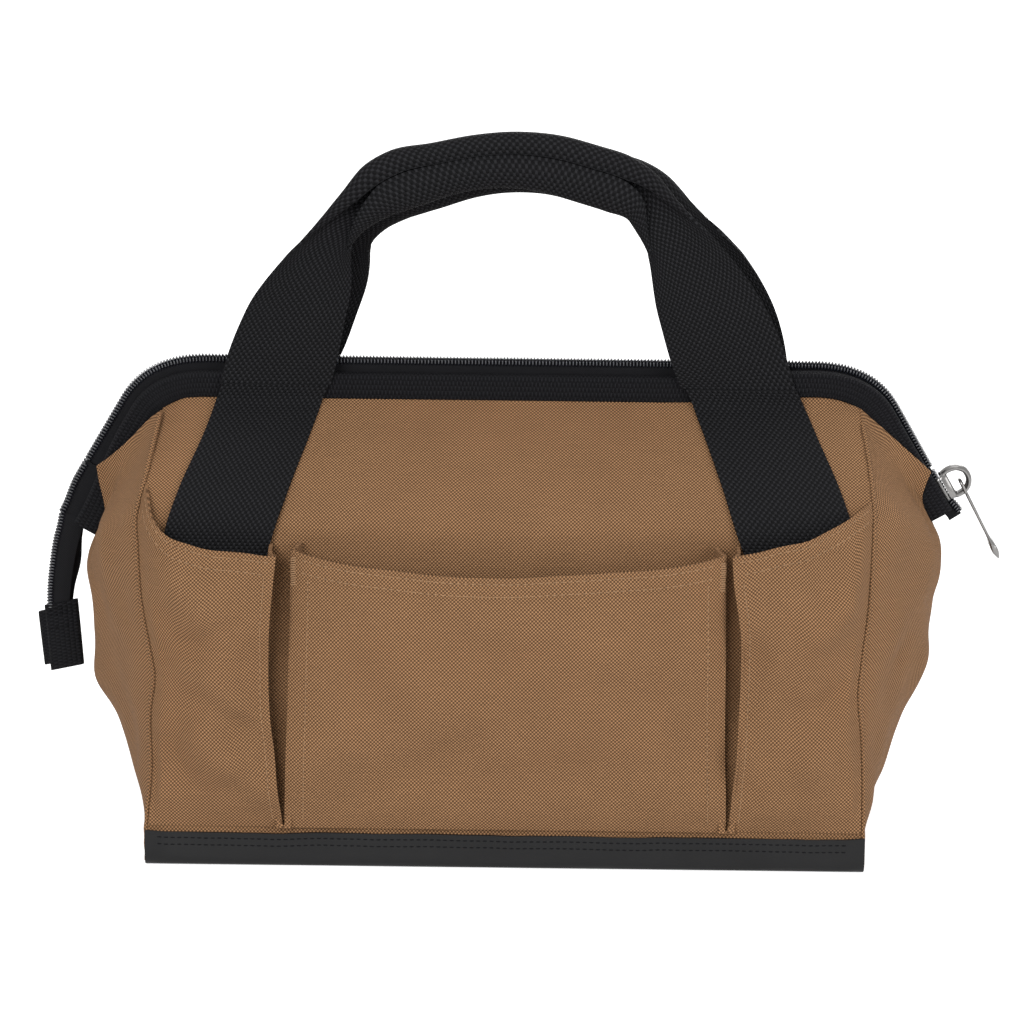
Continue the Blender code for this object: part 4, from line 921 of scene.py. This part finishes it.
def teeth_on(points, side, phase):
    """Coil loops of one tape along X and Z points, as short rounded bars across the zip."""
    run = lengths(points)
    at = (np.arange(int(run[-1] / TOOTH_PITCH)) + 0.5 + phase) * TOOTH_PITCH
    at = at[at < run[-1] - 0.5]
    line = np.insert(points, 1, 0.0, axis=1)
    ahead = unit(read(line, run, at + 0.5) - read(line, run, at - 0.5))
    out = points_of(-ahead[:, 2], 0 * at, ahead[:, 0])
    across = np.tile((0.0, float(side), 0.0), (len(at), 1))
    centres = read(line, run, at) - out * TOOTH_IN + across * TOOTH_Y
    return bead_parts(centres, across, out, TOOTH)


def coil_parts(points):
    """Both rows of teeth, half a pitch apart."""
    return [teeth_on(points, FRONT, 0.0), teeth_on(points, REAR, 0.5)]


def strip_rings(points, sections):
    """A section of (inward, Y) at each point of X and Z; outward is left of the run."""
    along = unit(np.gradient(points, axis=0))
    return np.array([
        [(p[0] + a[1] * i, y, p[1] - a[0] * i) for i, y in section]
        for p, a, section in zip(points, along, sections)
    ])


def tape_section(side, wide):
    return [(1.6, side * 0.5), (1.6, side * 1.5), (3.6, side * 1.9), (4.4, side * 2.0),
            (wide, side * 2.6), (wide, side * 1.6), (4.4, side * 1.0), (3.0, side * 0.5)]


def build_zip(side, word):
    points, _ = mouth_line(JAW_END + 0.3, 1.0)
    teeth = teeth_on(points, side, 0.0 if side == FRONT else 0.5)
    piece(f"{word}_coil", [teeth], TEETH, "zip_teeth", f"{word}_mouth", f"{word}_zip_teeth")
    rings, _ = mouth_sweep(tape_section(side, TAPE_WIDE), JAW_END + 0.2, 1.6)
    piece(f"{word}_tape", [sweep_parts(rings)], TAPE, "zip_tape", f"{word}_mouth",
          f"{word}_zip_tape")


def end_line(hand):
    """The outer edge of the zip's fixed end: the left turns inwards, the right bulges outwards."""
    (tx, tz), (ex, ez) = SLOPE_TOP, SLOPE_END
    low = 133.8 if hand == LEFT else 138.6
    z = np.linspace(JAW_END - 0.3, low, 30)
    x = tx + (ex - tx) * (z - tz) / (ez - tz)
    x = x + np.where(hand == LEFT, -2.4 * ease((152 - z) / 18), 2.6 * ease((149 - z) / 9))
    points = points_of(hand * x, z)
    return points[::-1] if hand == LEFT else points


def build_zip_end(hand, word):
    points = end_line(hand)
    piece(f"{word}_zip_end_coil", coil_parts(points), TEETH, "zip_teeth", "bag", f"{word}_zip_end")
    wide = np.full(len(points), 8.0)
    if hand == LEFT:
        wide = mix(TAPE_WIDE, 13.5, ease((158 - points[:, 1]) / 20))
    tapes = [
        sweep_parts(strip_rings(points, [tape_section(side, w) for w in wide])) for side, _ in SIDES
    ]
    piece(f"{word}_zip_end_tapes", tapes, TAPE, "zip_tape", "bag")


# The slider's place on the slope, and the pull's pivot and direction
SLIDER_AT = (204.4, 151.0)
UP_SLOPE = (-0.5145, 0.8575)
PULL_PIVOT = (211.757, 153.315)
PULL_ALONG = (0.482, -0.876)
RING = ((-6.2, 1.5), (-7, 5), (-5.8, 9), (-3, 11.3), (0, 11.9), (3, 11.2), (5.5, 8.6),
        (6.3, 5), (5.8, 1.8))
# Stations of the pull: distance, half width and half thickness
PULL_PLATE = ((6, 2.2, 0.5), (6.8, 3.1, 0.75), (10, 3.1, 0.72), (20, 2.6, 0.66),
              (28, 3, 0.66), (32, 3.8, 0.68), (34, 4.4, 1), (36, 4.7, 1.5),
              (38.5, 4.6, 1.5), (41, 4, 0.9), (42.6, 3, 0.45))
# Stations of each slider plate: distance up the slope and share of the full width
SLIDER_PLATE = ((-6.2, 0.72), (-5.7, 0.92), (-4.8, 1), (0, 1), (4.6, 1), (5.6, 0.93),
                (6.2, 0.75))
FOOT_THICK = np.array((0.3, 0.9, 1.2, 1.3, 1.2, 0.9, 0.3))
FOOT_WIDE = np.array((0.6, 1.7, 2.1, 2.2, 2.1, 1.7, 0.6))


def placed(origin, along, out, a, o, y):
    """Points from distances along and out of an origin in X and Z, and from Y."""
    x = origin[0] + along[0] * a + out[0] * o
    return points_of(x, y, origin[1] + along[1] * a + out[1] * o)


def build_slider():
    up = UP_SLOPE
    out = (up[1], -up[0])
    parts = []
    for turn in (1, -1):
        rings = []
        for a, grow in SLIDER_PLATE:
            wide = mix(4.8, 3.8, (a + 6) / 12) * grow
            high = 3.6 * mix(1, grow, 0.5)
            section = np.array((
                (-wide, 0.35), (-wide, high - 0.8), (-wide + 0.5, high - 0.2), (-wide + 1.3, high),
                (wide - 1.3, high), (wide - 0.5, high - 0.2), (wide, high - 0.8), (wide, 0.35),
                (wide - 1.1, 0.35), (wide - 1.1, 1.5), (-wide + 1.1, 1.5), (-wide + 1.1, 0.35)))
            o = turn * section[:, 1] - 0.3
            rings.append(placed(SLIDER_AT, up, out, a, o, section[:, 0]))
        parts.append(sweep_parts(rings))
    ring = spline(np.arange(len(RING)), RING)(np.linspace(0, len(RING) - 1, 60))
    line = placed(SLIDER_AT, up, out, ring[:, 0], ring[:, 1], 0.0)
    parts.append(tube_parts(line, 1.4, 14, wide=2.5))
    # the feet that hold the ring
    for a in (-6.0, 5.8):
        line = placed(SLIDER_AT, up, out, np.linspace(a - 1.3, a + 1.3, 7) * 0.93, 2.6, 0.0)
        parts.append(tube_parts(line, FOOT_THICK, 12, wide=FOOT_WIDE))
    piece("zip_slider_body", parts, NICKEL, "nickel", "slider", "zip_slider", sharp=40)


def build_pull():
    along = PULL_ALONG
    out = (-along[1], along[0])
    normal = np.array((out[0], 0.0, out[1]))
    turns = np.linspace(0, 2 * math.pi, 48, endpoint=False)
    eye = placed(PULL_PIVOT, along, out, 3.2 + 3.9 * np.cos(turns), 0.0, 2.7 * np.sin(turns))
    parts = [tube_parts(eye, 0.8, 10, closed=True, beside=normal)]
    rings = []
    for a, wide, thick in PULL_PLATE:
        y = wide * np.array((-1, -0.86, 0.86, 1, 1, 0.86, -0.86, -1))
        o = thick * np.array((-0.45, -1, -1, -0.45, 0.45, 1, 1, 0.45))
        rings.append(placed(PULL_PIVOT, along, out, a, o, y))
    parts.append(sweep_parts(rings))
    piece("zip_pull_plate", parts, NICKEL, "nickel", "pull", "zip_pull", sharp=40)


# The tail by height: how far left its outer edge lies, and its rear tape's width
TAIL_LINE = ((83, 220.4), (88, 220.3), (97, 219.6), (106, 218.3), (120, 215.6), (127, 213.6),
             (133.9, 212.1))
TAIL_WIDE = ((83, 11.6), (94, 12.4), (109, 14), (120, 13), (133.9, 11.5))
TAIL_TOP, TAIL_FOOT = 133.4, 84.0
TAIL_GAPE = 3.0


def tail_section(side, z):
    """The tapes part a little, the rear one bowing away and back."""
    share = (TAIL_TOP - z) / (TAIL_TOP - TAIL_FOOT)
    bow = 0.0 if side == FRONT else TAIL_GAPE * math.sin(math.pi * share)
    w = mix(12.5, 11.0, share) if side == FRONT else float(table(TAIL_WIDE)(z))
    section = ((1.6, 0.4), (1.6, 1.3), (3.4, 2.3), (w - 0.5, 2.2 + bow), (w, 1.9 + bow),
               (w - 0.5, 1.5 + bow), (3.4, 1.2))
    return [(i, side * y) for i, y in section]


def build_tail():
    z = np.linspace(TAIL_TOP, TAIL_FOOT, 50)
    points = points_of(-table(TAIL_LINE)(z), z)[::-1]
    body = ("bag", "tail", *TAIL_BEND)
    piece("tail_coil", coil_parts(points), TEETH, "zip_teeth", body)
    for side, word in SIDES:
        rings = strip_rings(points, [tail_section(side, z) for z in points[:, 1]])
        nodes = ["zip_tail"] if side == FRONT else []
        piece(f"tail_{word}_tape", [sweep_parts(rings)], TAPE, "zip_tape", body, *nodes)


TAB_SECTION = ((0, 0.25), (0, 0.75), (0.06, 1), (0.94, 1), (1, 0.75), (1, 0.25), (0.94, 0),
               (0.06, 0))
TAB_TILT = 3.6
# The tab's layers: low and high X, low and high Y, top, bottom and how far the foot lies right
TAB_LAYERS = (
    (-221.4, -205.4, -3, -0.4, 87.2, 53.6, 1.4),
    (-225.2, -209, 0.4, 3, 82.5, 55, 1.6),
)


def build_tab(rows=30):
    """The folded webbing end: a front layer, and a rear layer set to the left."""
    fx, fy = np.transpose(TAB_SECTION)
    k = np.arange(rows + 1)[:, None]
    t = k / rows
    bulge = 0.5 * np.sin(math.pi * t) + 0.07 * (-1.0) ** k - 0.35 * ((k == 0) | (k == rows))
    parts = []
    for low_x, high_x, y0, y1, top, bottom, slant in TAB_LAYERS:
        x = mix(low_x, high_x, fx) + slant * t
        z = mix(top, bottom, t) + (fx - 0.5) * TAB_TILT
        parts.append(sweep_parts(points_of(x, mix(y0 - bulge, y1 + bulge, fy), z)))
    piece("tail_tab_webbing", parts, BAND, "black_webbing", "tail", "zip_tail_tab")
    low_x, high_x, y0, _, top, _, _ = TAB_LAYERS[0]
    x = np.linspace(low_x + 1.2, high_x - 1.0, 12)
    lines = []
    for drop in (2.4, 5.2, 12.0):
        z = top - drop + ((x - low_x) / (high_x - low_x) - 0.5) * TAB_TILT
        line = points_of(x, y0 - 0.5, z)
        lines.append(stitch_parts(line, (0.0, -1.0, 0.0), 2.7, 2.0, 0.6))
    sewn("tail_tab_stitches", lines, BLACK_THREAD, "tail", "black_webbing")


# ---- base, hinges ----

WRAP_TOP = 15.3
WRAP_REACH = 162.3
WRAP_CLOTH = 1.6
WRAP_RADIUS = 2.4


def build_wrap():
    """The coated cloth under the bag, from its front edge down and round to its rear edge."""
    z = np.linspace(WRAP_TOP, WRAP_RADIUS, 24)
    front = points_of(-(wall(z) + WRAP_CLOTH + 0.5), z)
    foot = front[-1, 0]
    turn = np.linspace(0.15, 1, 8)[:, None] * math.pi / 2
    corner = WRAP_RADIUS * (1 - np.concatenate([np.cos(turn), np.sin(turn)], axis=1)) + (foot, 0)
    half = np.concatenate([front, corner, [[-60.0, 0.0], [0.0, 0.0]]])
    path = resample(np.concatenate([half, (half * (-1, 1))[-2::-1]]), 150)
    x = np.linspace(-WRAP_REACH, WRAP_REACH, 130)
    grid = np.zeros((len(path), len(x), 3))
    grid[..., 0] = x
    grid[..., 1], grid[..., 2] = path[:, :1], path[:, 1:]
    out = np.sign(path[:, :1]) * ease(path[:, 1:] / 5)
    curl = ease((np.abs(x) - 152) / 10)[None, :]
    uneven = ripple(grid[..., 0], grid[..., 2], 61, 0.5, 60.0, 15.0)
    grid[..., 1] += out * (1.0 * curl + uneven + 0.25)
    grid[..., 2] += np.abs(out) * (1.2 * curl + 0.5 * ripple(x, 0 * x, 62, 0.6)[None, :])
    cloth("base_cloth", grid, WRAP_CLOTH, (0, 0, -1), COATED, "base_coated", "bag", "base_wrap")
    parts = []
    for side, rows in ((REAR, grid), (FRONT, grid[::-1])):
        for drop in (2.5, 5.6):
            line = below_top(rows, drop)[2:-2]
            parts.append(stitch_parts(line, (0.0, side, 0.2), 3.0, 2.1, 0.55))
    sewn("base_stitches", parts, BLACK_THREAD, "bag", "base_coated")


# Where each rivet sits, inside the binding's end
RIVET_AT = {LEFT: 188.5, RIGHT: 196.5}
ROD_IN = 13.2
ROD_Y = 5.5
ROD_RADIUS = 1.6
HINGE_HALF = 2.8
# Profiles along the hinge's axis: distance and radius
EYE = ((-0.7, 2.2), (-0.55, 3.2), (0.55, 3.2), (0.7, 2.2))
RIVET = ((-5.6, 0.7), (-5.3, 1.8), (-4.5, 2.6), (-3.7, 2.9), (-3.6, 1.5), (3.6, 1.5), (3.7, 2.9),
         (4.5, 2.6), (5.3, 1.8), (5.6, 0.7))


def turned_parts(x, profile, around=24):
    """A round solid about the hinge's axis, from distances along it and radii."""
    turns = np.linspace(0, 2 * math.pi, around, endpoint=False)
    rings = [
        points_of(x + d + 0 * turns, r * np.cos(turns), PIVOT_HEIGHT + r * np.sin(turns))
        for d, r in profile
    ]
    return sweep_parts(np.array(rings))


def build_rod(side, word):
    rings, _ = mouth_sweep([(ROD_IN, side * ROD_Y)], 153.0, 2.0, band_shift)
    line = rings[:, 0]
    line[:, 1] *= ease((line[:, 2] - 142.0) / 12)
    parts = [tube_parts(line, ROD_RADIUS, 10)]
    for hand, _ in HANDS:
        parts.append(turned_parts(hand * RIVET_AT[hand] + side, EYE))
    piece(f"{word}_rod", parts, STEEL, "frame_steel", f"{word}_mouth", f"{word}_frame_rod",
          sharp=40)


def build_hinges():
    """Each rivet, and the webbing that holds it, sewn to the gusset inside the binding's end."""
    for hand, word in HANDS:
        rivet = turned_parts(hand * RIVET_AT[hand], RIVET)
        piece(f"{word}_rivet", [rivet], STEEL, "frame_steel", "bag", f"{word}_pivot_rivet",
              sharp=40)
        z = np.linspace(126.0, 146.5, 20)[:, None]
        y = np.linspace(-HINGE_HALF, HINGE_HALF, 8)[None, :]
        x = hand * (RIVET_AT[hand] + 3.4 - 0.3 * (y / HINGE_HALF) ** 2)
        grid = points_of(x, y, z)
        cloth(f"{word}_hinge_webbing", grid, WEBBING, (hand, 0, 0), STRAP, "black_webbing", "bag",
              f"{word}_pivot_tongue")


def finish_board():
    mesh = bpy.data.objects["base_board"].data
    mesh.materials.clear()
    mesh.materials.append(BOARD)


# ---- stage ----

EYE_AT = (0, -1.085, 0.530)
PITCH, ROLL = math.radians(20), math.radians(0.7)
WHITE = (1, 1, 1, 1)
WORLD_LIGHT = 0.5
FLOOR_GLOW = 0.68
FLOOR_HALF = 3.0
# Name, place, aim, size and power
LAMPS = (
    ("key", (-0.6, -1.3, 0.95), (0, 0, 0.13), (0.9, 0.7), 15),
    ("top", (0.2, 0.25, 1.5), (0, 0, 0.15), (1.0, 0.8), 4.5),
    ("back", (0.5, 1.4, 0.9), (0, 0, 0.13), (0.9, 0.7), 8),
    ("fill", (1.1, -0.9, 0.6), (0, 0, 0.12), (0.8, 0.8), 8),
)


def build_camera(scene):
    camera = bpy.data.cameras.new("camera")
    camera.sensor_width = 36.0
    camera.lens = 86.0
    camera.shift_x = 3.2 / 1024
    camera.clip_start = 0.05
    camera.clip_end = 20
    eye = bpy.data.objects.new("camera", camera)
    scene.collection.objects.link(eye)
    right = Vector((1, 0, 0))
    up = Vector((0, math.sin(PITCH), math.cos(PITCH)))
    turned = right * math.cos(ROLL) + up * math.sin(ROLL)
    upright = up * math.cos(ROLL) - right * math.sin(ROLL)
    way = Matrix((turned, upright, turned.cross(upright))).transposed().to_4x4()
    eye.matrix_world = Matrix.Translation(EYE_AT) @ way
    scene.camera = eye


def rays_of(tree, *kinds):
    """1 for the named kinds of ray, else 0."""
    path = tree.nodes.new("ShaderNodeLightPath")
    share = path.outputs[kinds[0]]
    for kind in kinds[1:]:
        share = math_node(tree, "MAXIMUM", share, path.outputs[kind])
    return share


def build_world(scene):
    world = bpy.data.worlds.new("world")
    scene.world = world
    world.use_nodes = True
    tree = world.node_tree
    soft = tree.nodes["Background"]
    fill(tree, soft, {"Color": WHITE, "Strength": WORLD_LIGHT})
    plain = add_node(tree, "Background", {"Color": WHITE, "Strength": 1.0})
    seen = rays_of(tree, "Is Camera Ray", "Is Transmission Ray", "Is Glossy Ray")
    choose = add_node(tree, "MixShader", {0: seen, 1: soft.outputs[0], 2: plain})
    tree.links.new(choose, tree.nodes["World Output"].inputs[0])


def build_lamps(scene):
    for name, place, aim, size, power in LAMPS:
        data = bpy.data.lights.new(name, "AREA")
        data.shape = "RECTANGLE"
        data.size, data.size_y = size
        data.energy = power
        obj = bpy.data.objects.new(name, data)
        obj.location = place
        obj.rotation_mode = "QUATERNION"
        obj.rotation_quaternion = (Vector(aim) - Vector(place)).to_track_quat("-Z", "Y")
        scene.collection.objects.link(obj)


def build_floor(scene):
    mesh = bpy.data.meshes.new("floor")
    wide = FLOOR_HALF
    corners = [(-wide, -wide, 0), (wide, -wide, 0), (wide, wide, 0), (-wide, wide, 0)]
    mesh.from_pydata(corners, [], [(0, 1, 2, 3)])
    floor = bpy.data.objects.new("floor", mesh)
    floor.location.z = -0.0004
    scene.collection.objects.link(floor)
    material, tree, shader = new_material("floor_white")
    fill(tree, shader, {"Base Color": (0.8, 0.8, 0.8, 1), "Roughness": 0.9})
    seen = rays_of(tree, "Is Camera Ray", "Is Glossy Ray")
    strength = math_node(tree, "MULTIPLY", seen, FLOOR_GLOW)
    glow = add_node(tree, "Emission", {"Strength": strength})
    both = add_node(tree, "AddShader", {0: shader.outputs[0], 1: glow})
    tree.links.new(both, tree.nodes["Material Output"].inputs[0])
    mesh.materials.append(material)


def main():
    for side, word in SIDES:
        for build in (build_panel, build_gussets, build_centre_pocket, build_side_pockets,
                      build_straps, build_handle, build_binding, build_zip, build_rod):
            build(side, word)
    for hand, word in HANDS:
        build_zip_end(hand, word)
    for build in (build_slider, build_pull, build_tail, build_tab, build_wrap, build_hinges,
                  finish_board):
        build()
    scene = bpy.context.scene
    scene.view_settings.view_transform = "Standard"
    for build in (build_camera, build_world, build_lamps, build_floor):
        build(scene)


main()
